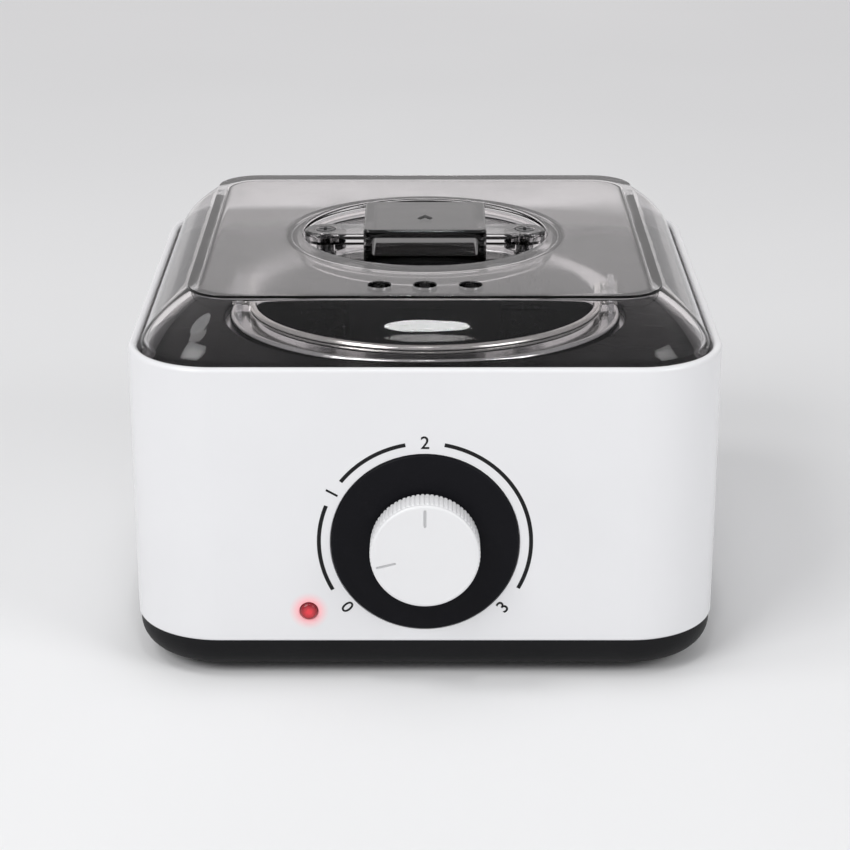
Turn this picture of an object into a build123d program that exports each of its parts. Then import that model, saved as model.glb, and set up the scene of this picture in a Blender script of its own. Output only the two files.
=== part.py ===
from build123d import *
import os

# A square wax warmer: a white casing on a black base, a heated well with a lift-out pot, and a clear lid.
# Millimetres. The origin is on the floor below the middle of the pot: +X right, -Y front (dial), +Z up.

# Clearances
SEAT_GAP = 0.3  # round pieces that seat in each other
SHAFT_GAP = 0.1  # shaft in its bush, all round
PIVOT_GAP = 0.4  # bail wire in its ears, all round
POT_GAP = 1.0  # pot wall to well wall
RIM_GAP = 1.5  # pot rim to the deck's round opening
LID_GAP = 0.7  # lid skirt to casing wall

# Pot
POT_INNER_RADIUS = 51.5
POT_WALL = 1.5
POT_FLOOR = 2.0
POT_HEIGHT = 63.0
POT_RIM_REACH = 6.0  # rim beyond the pot's wall
POT_RIM_THICK = 1.5
POT_CURL_DROP = 3.6  # curled edge of the rim, top to bottom
POT_CURL_THICK = 1.6
POT_CURL_ROUND = 0.7
POT_CORNER = 4.0  # round between the pot's wall and floor

# Bail and its ears
BAIL_WIRE_RADIUS = 1.3
BAIL_BEND = 2.6  # bend between the loop and each end
BAIL_END = 3.6  # straight end that turns in the ear
BAIL_REST_GAP = 1.2  # folded wire above the rim
EAR_THICK = 1.6
EAR_OUTSET = 2.4  # ear beyond the pot's wall
EAR_SETBACK = 0.8  # ear beyond the wire's bend
EAR_RADIUS = 3.4
EAR_FOOT = 9.0

# Heated well
WELL_WALL = 1.5
WELL_FLOOR = 2.0
WELL_FLANGE_REACH = 8.5  # flange beyond the well's wall
WELL_FLANGE_THICK = 1.5
WELL_TAB_RADIUS = 5.0
WELL_TAB_OFFSET = 2.0  # tab's middle beyond the flange's edge
WELL_TAB_COUNT = 4
WELL_SCREW_RADIUS = 1.5
WELL_SCREW_GRIP = 2.1
WELL_SCREW_HEAD_RADIUS = 2.8
WELL_SCREW_HEAD = 1.8
BAND_RISE = 6.0  # band above the well's floor
BAND_HEIGHT = 30.0
BAND_THICK = 2.4
BAND_SPLIT = 6.0
BAND_EAR_REACH = 11.0
BAND_EAR_THICK = 2.0
BAND_EAR_HEIGHT = 14.0
BAND_SCREW_RADIUS = 1.5
BAND_SCREW_HEAD_RADIUS = 2.8
BAND_SCREW_HEAD = 2.0
FUSE_ANGLE = 135.0
FUSE_RADIUS = 2.2
FUSE_LENGTH = 20.0
CLIP_WIDTH = 10.0
CLIP_DEPTH = 8.0
CLIP_HEIGHT = 12.0

# Casing
SIDE_ROOM = 24.8  # well to casing wall, left and right
DEPTH_ROOM = 24.8  # well to casing wall, front and back
CASING_WALL = 2.7
CASING_HEIGHT = 81.0
CASING_CORNER = 25.0
RIM_ROUND = 1.2
LOWER_ROUND = 0.8
LEDGE_REACH = 3.5
LEDGE_THICK = 2.5
LIP_THICK = 2.0

# Deck
DECK_DROP = 7.0  # deck's top below the casing's rim
DECK_THICK = 3.0
DECK_EDGE_ROUND = 1.2
BOSS_RADIUS = 5.0

# Base and feet
FOOT_HEIGHT = 2.5
FOOT_RADIUS = 7.0
FOOT_ROUND = 0.8
FOOT_PLUG_RADIUS = 2.5
FOOT_PLUG_RISE = 3.5
FOOT_INSET = 21.0  # foot's middle from the casing's sides
BASE_HEIGHT = 9.5
BASE_INSET = 0.5
BASE_WALL = 3.6
BASE_PLATE = 2.5
BASE_ROUND = 7.5
BASE_BAND = 1.0  # least straight band above the round
TONGUE_WALL = 2.4
VENT_LENGTH = 34.0
VENT_WIDTH = 3.0
VENT_PITCH = 8.0
VENT_COUNT = 7
VENT_ROW_PITCH = 46.0
POST_RADIUS = 6.5
POST_HEIGHT = 25.0
POST_INSET = 16.5  # post's middle from the casing's sides
POST_SPAN = 80.0  # front posts to rear posts
BASE_SCREW_RADIUS = 1.8
BASE_SCREW_HEAD_RADIUS = 3.6
BASE_SCREW_HEAD = 2.4
BASE_SCREW_SEAT = 5.0  # head seat above the base's underside
BASE_SCREW_GRIP = 16.0

# Dial, thermostat and knob
DIAL_RISE = 30.2  # dial's middle above the casing's lower edge
DIAL_RADIUS = 26.1
DIAL_POCKET = 1.0
DIAL_PROUD = 0.6
DIAL_EDGE = 0.3
THERMOSTAT_SIZE = 22.0
THERMOSTAT_DEPTH = 14.0
THERMOSTAT_CORNER = 2.0
LUG_WIDTH = 6.0
LUG_THICK = 0.8
LUG_LENGTH = 8.0
LUG_PITCH = 12.0
BUSH_RADIUS = 4.8
BUSH_PAST_NUT = 0.5
NUT_FLATS = 12.0
NUT_THICK = 2.5
SHAFT_RADIUS = 3.0
SHAFT_FLAT = 1.0  # depth of the flat at the shaft's tip
SHAFT_ROOT = 11.0  # shaft inside the thermostat, behind the casing wall
KNOB_RADIUS = 15.2
KNOB_DEPTH = 8.6
KNOB_GAP = 0.8  # knob above the dial
KNOB_WALL = 2.2
KNOB_CAP = 1.4  # smooth front part
KNOB_CAP_STEP = 0.2
KNOB_ROUND = 0.7
HUB_RADIUS = 5.2
HUB_GAP = 0.6  # hub in front of the bush
FLUTE_COUNT = 48
FLUTE_RADIUS = 0.5
POINTER_LENGTH = 5.2
POINTER_WIDTH = 0.8
POINTER_DEPTH = 0.35
POINTER_EDGE = 1.4  # pointer's outer end from the knob's edge
TICK_ANGLE = 104.0  # second mark, turned towards the lowest setting
TICK_LENGTH = 5.6

# Indicator lamp
LAMP_LEFT = 32.5
LAMP_RISE = 9.4  # lamp above the casing's lower edge
LAMP_RADIUS = 2.4
LAMP_PROUD = 1.0
LAMP_ROUND = 0.9
LAMP_FLANGE = 1.4
LAMP_FLANGE_THICK = 1.2
LED_RADIUS = 1.4
LED_ROUND = 1.0
LED_DEPTH = 2.2  # light diode inside the lens, from the lens's back
BOARD_SETBACK = 7.5  # board behind the casing's wall
BOARD_WIDTH = 12.0
BOARD_THICK = 1.6
BOARD_ABOVE_LAMP = 7.0
RAIL_HEIGHT = 6.0
RAIL_WALL = 2.0

# Terminal block and cord gland
BLOCK_RIGHT = 34.0
BLOCK_INSET = 20.0  # block's middle from the casing's back
BLOCK_WIDTH = 24.0
BLOCK_DEPTH = 10.0
BLOCK_HEIGHT = 12.0
TERMINAL_COUNT = 3
TERMINAL_PITCH = 7.0
TERMINAL_RADIUS = 1.6
TERMINAL_BORE = 1.4
TERMINAL_SCREW_LENGTH = 4.0
GLAND_NUT_GAP = 0.5  # nut above the base's tongue
GLAND_RADIUS = 5.2
GLAND_BORE = 3.2
GLAND_NOSE = 9.0
GLAND_NOSE_RADIUS = 6.2
GLAND_TIP_RADIUS = 5.0
GLAND_FLANGE_RADIUS = 8.5
GLAND_FLANGE = 2.0
GLAND_INSIDE = 8.0
GLAND_NUT_FLATS = 15.0
GLAND_NUT_THICK = 3.0

# Lid and its grip
LID_WALL = 2.5
LID_RISE = 15.5  # lid's flat top above the casing's rim
LID_BEVEL = 14.4  # flat top inside the skirt
LID_BOW = 2.2  # outward bow of the sloping wall
LID_TOP_CORNER = 12.0
LID_BOW_CORNER = 18.0
RECESS_RADIUS = 36.6
RECESS_DEPTH = 5.0
RECESS_ROUND = 0.8
VENT_HOLE_RADIUS = 3.1
VENT_HOLE_PITCH = 12.7
VENT_HOLE_FRONT = 55.7
GRIP_WIDTH = 36.2
GRIP_DEPTH = 32.8
GRIP_HEIGHT = 9.5
GRIP_CORNER = 2.0
GRIP_ROUND = 0.8
GRIP_SIDE = 2.5
GRIP_TOP = 2.3
GRIP_FLOOR = 1.8
GRIP_WINDOW_ROUND = 1.2
BAR_THICK = 3.2
BAR_WIDTH = 12.4
BAR_RISE = 2.2  # bar above the recess floor
GRIP_SCREW_SPAN = 59.8
GRIP_SCREW_RADIUS = 1.5
GRIP_SCREW_HEAD_RADIUS = 2.9
GRIP_SCREW_HEAD = 1.8
GRIP_NUT_FLATS = 5.5
GRIP_NUT_THICK = 2.2

# Radii from the pot outwards
pot_radius = POT_INNER_RADIUS + POT_WALL
pot_rim_radius = pot_radius + POT_RIM_REACH
well_inner_radius = pot_radius + POT_GAP
well_radius = well_inner_radius + WELL_WALL
well_flange_radius = well_radius + WELL_FLANGE_REACH
well_tab_circle = well_flange_radius + WELL_TAB_OFFSET
band_inner_radius = well_radius + SEAT_GAP
band_radius = band_inner_radius + BAND_THICK
deck_opening_radius = pot_rim_radius + RIM_GAP
casing_width = 2 * (well_radius + SIDE_ROOM + CASING_WALL)
casing_depth = 2 * (well_radius + DEPTH_ROOM + CASING_WALL)

# Heights from the floor upwards
base_bottom = FOOT_HEIGHT
plate_top = base_bottom + BASE_PLATE
casing_bottom = base_bottom + BASE_HEIGHT
casing_top = casing_bottom + CASING_HEIGHT
deck_top = casing_top - DECK_DROP
deck_bottom = deck_top - DECK_THICK
pot_top = deck_bottom + SEAT_GAP + POT_CURL_DROP
pot_bottom = pot_top - POT_HEIGHT
band_bottom = pot_bottom + BAND_RISE
band_middle = band_bottom + BAND_HEIGHT / 2
post_top = plate_top + POST_HEIGHT
dial_height = casing_bottom + DIAL_RISE
lamp_height = casing_bottom + LAMP_RISE
gland_height = casing_bottom + LIP_THICK + GLAND_NUT_GAP + GLAND_NUT_FLATS / 2
lid_top = casing_top + LID_RISE
recess_floor = lid_top - RECESS_DEPTH
bail_height = pot_top + BAIL_REST_GAP + BAIL_WIRE_RADIUS

# Insets of nested outlines from the casing's outside
deck_inset = CASING_WALL + SEAT_GAP
lid_inset = CASING_WALL + LID_GAP
ledge_inset = CASING_WALL + LEDGE_REACH
tongue_inset = BASE_INSET + BASE_WALL
lip_inset = tongue_inset - SEAT_GAP

# Distances out from the casing's front face, along the dial's axis
dial_front = DIAL_PROUD
nut_front = dial_front + NUT_THICK
bush_front = nut_front + BUSH_PAST_NUT
knob_back = dial_front + KNOB_GAP
knob_front = knob_back + KNOB_DEPTH
knob_inside = knob_front - KNOB_WALL
hub_back = bush_front + HUB_GAP
shaft_tip = knob_inside

# Planes that look at the front and at the back
dial_plane = Plane((0, -casing_depth / 2, dial_height), x_dir=(1, 0, 0), z_dir=(0, -1, 0))
lamp_plane = Plane((-LAMP_LEFT, -casing_depth / 2, lamp_height), x_dir=(1, 0, 0), z_dir=(0, -1, 0))
gland_plane = Plane((0, casing_depth / 2, gland_height), x_dir=(-1, 0, 0), z_dir=(0, 1, 0))

# Places that repeat
post_places = GridLocations(casing_width - 2 * POST_INSET, POST_SPAN, 2, 2)
foot_places = GridLocations(casing_width - 2 * FOOT_INSET, casing_depth - 2 * FOOT_INSET, 2, 2)
tab_places = PolarLocations(well_tab_circle, WELL_TAB_COUNT, start_angle=180 / WELL_TAB_COUNT)
grip_screw_places = GridLocations(GRIP_SCREW_SPAN, 0, 2, 1)
board_y = -casing_depth / 2 + CASING_WALL + BOARD_SETBACK + BOARD_THICK / 2
block_y = casing_depth / 2 - BLOCK_INSET


def casing_outline(inset, mode=Mode.ADD):
    """Draws the casing's plan outline, moved inwards."""
    RectangleRounded(casing_width - 2 * inset, casing_depth - 2 * inset, CASING_CORNER - inset, mode=mode)


def lid_outline(bevel, corner, thickness):
    """Draws one plan section of the lid, drawn in by the wall's thickness for its inside."""
    inset = lid_inset + bevel + thickness
    RectangleRounded(casing_width - 2 * inset, casing_depth - 2 * inset, corner - thickness)


# Casing: one moulded wall with a rounded rim, a ledge for the deck and a lip that stands on the base
with BuildPart() as outer_shell:
    with BuildSketch(Plane.XY.offset(casing_bottom)):
        casing_outline(0)
        casing_outline(CASING_WALL, mode=Mode.SUBTRACT)
    extrude(amount=CASING_HEIGHT)
    fillet(outer_shell.edges().group_by(Axis.Z)[-1], RIM_ROUND)
    with BuildSketch(Plane.XY.offset(deck_bottom - LEDGE_THICK)):
        casing_outline(CASING_WALL / 2)
        casing_outline(ledge_inset, mode=Mode.SUBTRACT)
    extrude(amount=LEDGE_THICK)
    with BuildSketch(Plane.XY.offset(casing_bottom)):
        casing_outline(CASING_WALL / 2)
        casing_outline(lip_inset, mode=Mode.SUBTRACT)
    extrude(amount=LIP_THICK)
    fillet(outer_shell.edges().group_by(Axis.Z)[0], LOWER_ROUND)
    with BuildSketch(dial_plane):
        Circle(DIAL_RADIUS + SEAT_GAP)
    extrude(amount=-DIAL_POCKET, mode=Mode.SUBTRACT)
    with BuildSketch(dial_plane):
        Circle(BUSH_RADIUS + SEAT_GAP)
    extrude(amount=-CASING_WALL, mode=Mode.SUBTRACT)
    with BuildSketch(lamp_plane):
        Circle(LAMP_RADIUS + SEAT_GAP)
    extrude(amount=-CASING_WALL, mode=Mode.SUBTRACT)
    with BuildSketch(gland_plane):
        Circle(GLAND_RADIUS + SEAT_GAP)
    extrude(amount=-CASING_WALL, mode=Mode.SUBTRACT)

# Base: a black tray with a rounded lower edge, air slots, four screw posts and rails for the lamp's board
with BuildPart() as base_cover:
    with BuildSketch(Plane.XY.offset(base_bottom)):
        casing_outline(BASE_INSET)
    extrude(amount=BASE_HEIGHT)
    fillet(base_cover.edges().group_by(Axis.Z)[0], min(BASE_ROUND, BASE_HEIGHT - BASE_BAND))
    with BuildSketch(Plane.XY.offset(plate_top)):
        casing_outline(tongue_inset)
    extrude(amount=BASE_HEIGHT, mode=Mode.SUBTRACT)
    with BuildSketch(Plane.XY.offset(plate_top)):
        casing_outline(tongue_inset)
        casing_outline(tongue_inset + TONGUE_WALL, mode=Mode.SUBTRACT)
    extrude(amount=BASE_HEIGHT - BASE_PLATE + LIP_THICK)
    with BuildSketch(Plane.XY.offset(plate_top)):
        with post_places:
            Circle(POST_RADIUS)
    extrude(amount=POST_HEIGHT)
    with BuildSketch(Plane.XY.offset(plate_top)):
        with Locations((-LAMP_LEFT, board_y)):
            Rectangle(BOARD_WIDTH + 2 * RAIL_WALL, BOARD_THICK + 2 * RAIL_WALL)
            Rectangle(BOARD_WIDTH + 2 * SEAT_GAP, BOARD_THICK + 2 * SEAT_GAP, mode=Mode.SUBTRACT)
    extrude(amount=RAIL_HEIGHT)
    with BuildSketch(Plane.XY.offset(base_bottom)):
        with post_places:
            Circle(BASE_SCREW_HEAD_RADIUS + SEAT_GAP)
    extrude(amount=BASE_SCREW_SEAT, mode=Mode.SUBTRACT)
    with BuildSketch(Plane.XY.offset(base_bottom)):
        with post_places:
            Circle(BASE_SCREW_RADIUS + SEAT_GAP)
    extrude(amount=BASE_PLATE + POST_HEIGHT, mode=Mode.SUBTRACT)
    with BuildSketch(Plane.XY.offset(base_bottom)):
        with foot_places:
            Circle(FOOT_PLUG_RADIUS + SEAT_GAP)
        with GridLocations(VENT_PITCH, VENT_ROW_PITCH, VENT_COUNT, 2):
            SlotOverall(VENT_LENGTH, VENT_WIDTH, rotation=90)
    extrude(amount=BASE_PLATE, mode=Mode.SUBTRACT)

with BuildPart() as base_screws:
    with BuildSketch(Plane.XY.offset(base_bottom + BASE_SCREW_SEAT - BASE_SCREW_HEAD)):
        with post_places:
            Circle(BASE_SCREW_HEAD_RADIUS)
    extrude(amount=BASE_SCREW_HEAD)
    with BuildSketch(Plane.XY.offset(base_bottom + BASE_SCREW_SEAT)):
        with post_places:
            Circle(BASE_SCREW_RADIUS)
    extrude(amount=post_top + BASE_SCREW_GRIP - base_bottom - BASE_SCREW_SEAT)

with BuildPart() as rubber_feet:
    with BuildSketch():
        with foot_places:
            Circle(FOOT_RADIUS)
    extrude(amount=FOOT_HEIGHT)
    fillet(rubber_feet.edges().group_by(Axis.Z)[0], FOOT_ROUND)
    with BuildSketch(Plane.XY.offset(FOOT_HEIGHT)):
        with foot_places:
            Circle(FOOT_PLUG_RADIUS)
    extrude(amount=FOOT_PLUG_RISE)

# Deck: the black plate under the lid, with a round opening for the pot and bosses for the base screws
with BuildPart() as top_deck:
    with BuildSketch(Plane.XY.offset(deck_bottom)):
        casing_outline(deck_inset)
        Circle(deck_opening_radius, mode=Mode.SUBTRACT)
    extrude(amount=DECK_THICK)
    deck_top_arcs = top_deck.edges().filter_by(GeomType.CIRCLE).group_by(Axis.Z)[-1]
    fillet(deck_top_arcs.sort_by(SortBy.RADIUS)[-1], DECK_EDGE_ROUND)
    with BuildSketch(Plane.XY.offset(post_top)):
        with post_places:
            Circle(BOSS_RADIUS)
    extrude(amount=deck_bottom - post_top)
    with BuildSketch(Plane.XY.offset(post_top)):
        with post_places:
            Circle(BASE_SCREW_RADIUS + SEAT_GAP)
    extrude(amount=BASE_SCREW_GRIP + SEAT_GAP, mode=Mode.SUBTRACT)
    with BuildSketch(Plane.XY.offset(deck_bottom)):
        with tab_places:
            Circle(WELL_SCREW_RADIUS + SEAT_GAP)
    extrude(amount=WELL_SCREW_GRIP + SEAT_GAP, mode=Mode.SUBTRACT)

# Heated well: a spun cup hung under the deck by four tabs, with a heater band clamped round it
with BuildPart() as heating_well:
    with BuildSketch(Plane.XZ):
        with BuildLine():
            Polyline(
                (0, pot_bottom - WELL_FLOOR),
                (well_radius, pot_bottom - WELL_FLOOR),
                (well_radius, deck_bottom - WELL_FLANGE_THICK),
                (well_flange_radius, deck_bottom - WELL_FLANGE_THICK),
                (well_flange_radius, deck_bottom),
                (well_inner_radius, deck_bottom),
                (well_inner_radius, pot_bottom),
                (0, pot_bottom),
                close=True,
            )
        make_face()
    revolve(axis=Axis.Z)
    fillet(heating_well.edges().group_by(Axis.Z)[0], POT_CORNER)
    with BuildSketch(Plane.XY.offset(deck_bottom - WELL_FLANGE_THICK)):
        with tab_places:
            Circle(WELL_TAB_RADIUS)
        Circle(well_radius, mode=Mode.SUBTRACT)
    extrude(amount=WELL_FLANGE_THICK)
    with BuildSketch(Plane.XY.offset(deck_bottom - WELL_FLANGE_THICK)):
        with tab_places:
            Circle(WELL_SCREW_RADIUS + SEAT_GAP)
    extrude(amount=WELL_FLANGE_THICK, mode=Mode.SUBTRACT)

with BuildPart() as well_screws:
    with BuildSketch(Plane.XY.offset(deck_bottom - WELL_FLANGE_THICK - WELL_SCREW_HEAD)):
        with tab_places:
            Circle(WELL_SCREW_HEAD_RADIUS)
    extrude(amount=WELL_SCREW_HEAD)
    with BuildSketch(Plane.XY.offset(deck_bottom - WELL_FLANGE_THICK)):
        with tab_places:
            Circle(WELL_SCREW_RADIUS)
    extrude(amount=WELL_FLANGE_THICK + WELL_SCREW_GRIP)

# The band is split at the back, where two ears take the clamping screw
ear_middle = BAND_SPLIT / 2 + BAND_EAR_THICK / 2
ear_length = BAND_EAR_REACH + BAND_THICK
with BuildPart() as heater_band:
    with BuildSketch(Plane.XY.offset(band_bottom)):
        Circle(band_radius)
        Circle(band_inner_radius, mode=Mode.SUBTRACT)
        with Locations((0, band_radius)):
            Rectangle(BAND_SPLIT, band_radius, mode=Mode.SUBTRACT)
    extrude(amount=BAND_HEIGHT)
    with BuildSketch(Plane.XY.offset(band_middle - BAND_EAR_HEIGHT / 2)):
        with Locations((-ear_middle, band_inner_radius), (ear_middle, band_inner_radius)):
            Rectangle(BAND_EAR_THICK, ear_length, align=(Align.CENTER, Align.MIN))
        Circle(band_inner_radius, mode=Mode.SUBTRACT)
    extrude(amount=BAND_EAR_HEIGHT)
    with BuildSketch(Plane.YZ):
        with Locations((band_radius + BAND_EAR_REACH / 2, band_middle)):
            Circle(BAND_SCREW_RADIUS + SEAT_GAP)
    extrude(amount=BAND_SPLIT / 2 + BAND_EAR_THICK, both=True, mode=Mode.SUBTRACT)

band_screw_end = BAND_SPLIT / 2 + BAND_EAR_THICK
with BuildPart() as band_screw:
    with BuildSketch(Plane.YZ.offset(-band_screw_end)):
        with Locations((band_radius + BAND_EAR_REACH / 2, band_middle)):
            Circle(BAND_SCREW_RADIUS)
    extrude(amount=2 * band_screw_end)
    with BuildSketch(Plane.YZ.offset(band_screw_end)):
        with Locations((band_radius + BAND_EAR_REACH / 2, band_middle)):
            Circle(BAND_SCREW_HEAD_RADIUS)
    extrude(amount=BAND_SCREW_HEAD)

# The thermal fuse stands in a clip on the band
fuse_places = PolarLocations(band_radius + SEAT_GAP + CLIP_DEPTH / 2, 1, start_angle=FUSE_ANGLE)
with BuildPart() as fuse_clip:
    with BuildSketch(Plane.XY.offset(band_middle - CLIP_HEIGHT / 2)):
        with fuse_places:
            RectangleRounded(CLIP_DEPTH + CLIP_WIDTH / 4, CLIP_WIDTH, FUSE_RADIUS / 2)
            Circle(FUSE_RADIUS + SEAT_GAP, mode=Mode.SUBTRACT)
        Circle(band_radius + SEAT_GAP, mode=Mode.SUBTRACT)
    extrude(amount=CLIP_HEIGHT)

with BuildPart() as thermal_fuse:
    with BuildSketch(Plane.XY.offset(band_middle - FUSE_LENGTH / 2)):
        with fuse_places:
            Circle(FUSE_RADIUS)
    extrude(amount=FUSE_LENGTH)
    fillet(thermal_fuse.edges().filter_by(GeomType.CIRCLE), FUSE_RADIUS / 3)

# Thermostat: body behind the front wall, its bush through the wall and the dial, and two lugs below
with BuildPart() as thermostat_body:
    with BuildSketch(dial_plane.offset(-CASING_WALL - THERMOSTAT_DEPTH)):
        RectangleRounded(THERMOSTAT_SIZE, THERMOSTAT_SIZE, THERMOSTAT_CORNER)
    extrude(amount=THERMOSTAT_DEPTH)
    with BuildSketch(dial_plane.offset(-CASING_WALL)):
        Circle(BUSH_RADIUS)
    extrude(amount=CASING_WALL + bush_front)
    with BuildSketch(dial_plane.offset(-CASING_WALL - SHAFT_ROOT - SEAT_GAP)):
        Circle(SHAFT_RADIUS + SHAFT_GAP)
    extrude(amount=CASING_WALL + SHAFT_ROOT + SEAT_GAP + bush_front, mode=Mode.SUBTRACT)
    with BuildSketch(dial_plane.offset(-CASING_WALL - THERMOSTAT_DEPTH / 2)):
        with Locations((0, -THERMOSTAT_SIZE / 2 - LUG_LENGTH / 2)):
            with GridLocations(LUG_PITCH, 0, 2, 1):
                Rectangle(LUG_WIDTH, LUG_LENGTH)
    extrude(amount=LUG_THICK)

with BuildPart() as dial_plate:
    with BuildSketch(dial_plane.offset(-DIAL_POCKET)):
        Circle(DIAL_RADIUS)
        Circle(BUSH_RADIUS + SEAT_GAP, mode=Mode.SUBTRACT)
    extrude(amount=DIAL_POCKET + dial_front)
    chamfer(dial_plate.edges().group_by(Axis.Y)[0].sort_by(SortBy.RADIUS)[-1], DIAL_EDGE)

with BuildPart() as thermostat_nut:
    with BuildSketch(dial_plane.offset(dial_front)):
        RegularPolygon(NUT_FLATS / 2, 6, major_radius=False)
        Circle(BUSH_RADIUS + SEAT_GAP, mode=Mode.SUBTRACT)
    extrude(amount=NUT_THICK)

with BuildPart() as thermostat_shaft:
    with BuildSketch(dial_plane.offset(-CASING_WALL - SHAFT_ROOT)):
        Circle(SHAFT_RADIUS)
    extrude(amount=CASING_WALL + SHAFT_ROOT + shaft_tip)
    with BuildSketch(dial_plane.offset(hub_back)):
        with Locations((0, SHAFT_RADIUS)):
            Rectangle(2 * SHAFT_RADIUS, 2 * SHAFT_FLAT)
    extrude(amount=shaft_tip - hub_back, mode=Mode.SUBTRACT)

# Knob: a hollow cap with a fluted flank, a smooth face, a hub for the flatted shaft and two engraved marks
with BuildPart() as control_knob:
    with BuildSketch(dial_plane.offset(knob_back)):
        Circle(KNOB_RADIUS)
        with PolarLocations(KNOB_RADIUS, FLUTE_COUNT):
            Circle(FLUTE_RADIUS, mode=Mode.SUBTRACT)
    extrude(amount=KNOB_DEPTH - KNOB_CAP)
    with BuildSketch(dial_plane.offset(knob_front - KNOB_CAP)):
        Circle(KNOB_RADIUS - KNOB_CAP_STEP)
    extrude(amount=KNOB_CAP)
    fillet(control_knob.edges().group_by(Axis.Y)[0], KNOB_ROUND)
    with BuildSketch(dial_plane.offset(knob_back)):
        Circle(KNOB_RADIUS - KNOB_WALL)
    extrude(amount=knob_inside - knob_back, mode=Mode.SUBTRACT)
    with BuildSketch(dial_plane.offset(hub_back)):
        Circle(HUB_RADIUS)
        Circle(SHAFT_RADIUS + SEAT_GAP, mode=Mode.SUBTRACT)
        with Locations((0, SHAFT_RADIUS + SEAT_GAP)):
            Rectangle(2 * SHAFT_RADIUS, 2 * SHAFT_FLAT)
    extrude(amount=knob_inside - hub_back)
    with BuildSketch(dial_plane.offset(knob_front)):
        with Locations((0, KNOB_RADIUS - POINTER_EDGE - POINTER_LENGTH / 2)):
            SlotOverall(POINTER_LENGTH, POINTER_WIDTH, rotation=90)
        with PolarLocations(KNOB_RADIUS - POINTER_EDGE - TICK_LENGTH / 2, 1, start_angle=90 + TICK_ANGLE):
            SlotOverall(TICK_LENGTH, POINTER_WIDTH / 2)
    extrude(amount=-POINTER_DEPTH, mode=Mode.SUBTRACT)

# Indicator: a red lens from behind the wall, a light diode in it, and a board that stands in the base's rails
lens_back = CASING_WALL + LAMP_FLANGE_THICK
board_front = CASING_WALL + BOARD_SETBACK
with BuildPart() as indicator_lens:
    with BuildSketch(lamp_plane.offset(-lens_back)):
        Circle(LAMP_RADIUS)
    extrude(amount=lens_back + LAMP_PROUD)
    fillet(indicator_lens.edges().group_by(Axis.Y)[0], LAMP_ROUND)
    with BuildSketch(lamp_plane.offset(-lens_back)):
        Circle(LAMP_RADIUS + LAMP_FLANGE)
    extrude(amount=LAMP_FLANGE_THICK)
    with BuildSketch(lamp_plane.offset(-lens_back)):
        Circle(LED_RADIUS + SEAT_GAP)
    extrude(amount=LED_DEPTH + SEAT_GAP, mode=Mode.SUBTRACT)

with BuildPart() as indicator_led:
    with BuildSketch(lamp_plane.offset(-board_front)):
        Circle(LED_RADIUS)
    extrude(amount=board_front - lens_back + LED_DEPTH)
    fillet(indicator_led.edges().group_by(Axis.Y)[0], LED_ROUND)

with BuildPart() as lamp_board:
    with BuildSketch(Plane.XY.offset(plate_top)):
        with Locations((-LAMP_LEFT, board_y)):
            Rectangle(BOARD_WIDTH, BOARD_THICK)
    extrude(amount=lamp_height + BOARD_ABOVE_LAMP - plate_top)

# Terminal block on the base, with a screw over each wire hole
block_top = plate_top + BLOCK_HEIGHT
with BuildPart() as terminal_block:
    with BuildSketch(Plane.XY.offset(plate_top)):
        with Locations((BLOCK_RIGHT, block_y)):
            Rectangle(BLOCK_WIDTH, BLOCK_DEPTH)
    extrude(amount=BLOCK_HEIGHT)
    with BuildSketch(Plane.XY.offset(block_top)):
        with Locations((BLOCK_RIGHT, block_y)):
            with GridLocations(TERMINAL_PITCH, 0, TERMINAL_COUNT, 1):
                Circle(TERMINAL_RADIUS + SEAT_GAP)
    extrude(amount=-TERMINAL_SCREW_LENGTH, mode=Mode.SUBTRACT)
    with BuildSketch(Plane.XZ.offset(-block_y - BLOCK_DEPTH / 2)):
        with Locations((BLOCK_RIGHT, plate_top + BLOCK_HEIGHT / 3)):
            with GridLocations(TERMINAL_PITCH, 0, TERMINAL_COUNT, 1):
                Circle(TERMINAL_BORE)
    extrude(amount=BLOCK_DEPTH, mode=Mode.SUBTRACT)

with BuildPart() as terminal_screws:
    with BuildSketch(Plane.XY.offset(block_top)):
        with Locations((BLOCK_RIGHT, block_y)):
            with GridLocations(TERMINAL_PITCH, 0, TERMINAL_COUNT, 1):
                Circle(TERMINAL_RADIUS)
    extrude(amount=-TERMINAL_SCREW_LENGTH)

# Cord gland: flange and tapered nose outside the back wall, threaded end and nut inside
with BuildPart() as cord_gland:
    with BuildSketch(gland_plane.offset(-CASING_WALL - GLAND_INSIDE)):
        Circle(GLAND_RADIUS)
    extrude(amount=CASING_WALL + GLAND_INSIDE)
    with BuildSketch(gland_plane):
        Circle(GLAND_FLANGE_RADIUS)
    extrude(amount=GLAND_FLANGE)
    with BuildSketch(gland_plane.offset(GLAND_FLANGE)):
        Circle(GLAND_NOSE_RADIUS)
    with BuildSketch(gland_plane.offset(GLAND_NOSE)):
        Circle(GLAND_TIP_RADIUS)
    loft()
    with BuildSketch(gland_plane.offset(-CASING_WALL - GLAND_INSIDE)):
        Circle(GLAND_BORE)
    extrude(amount=CASING_WALL + GLAND_INSIDE + GLAND_NOSE, mode=Mode.SUBTRACT)

with BuildPart() as gland_nut:
    with BuildSketch(gland_plane.offset(-CASING_WALL - GLAND_NUT_THICK)):
        RegularPolygon(GLAND_NUT_FLATS / 2, 6, major_radius=False)
        Circle(GLAND_RADIUS + SEAT_GAP, mode=Mode.SUBTRACT)
    extrude(amount=GLAND_NUT_THICK)

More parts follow.
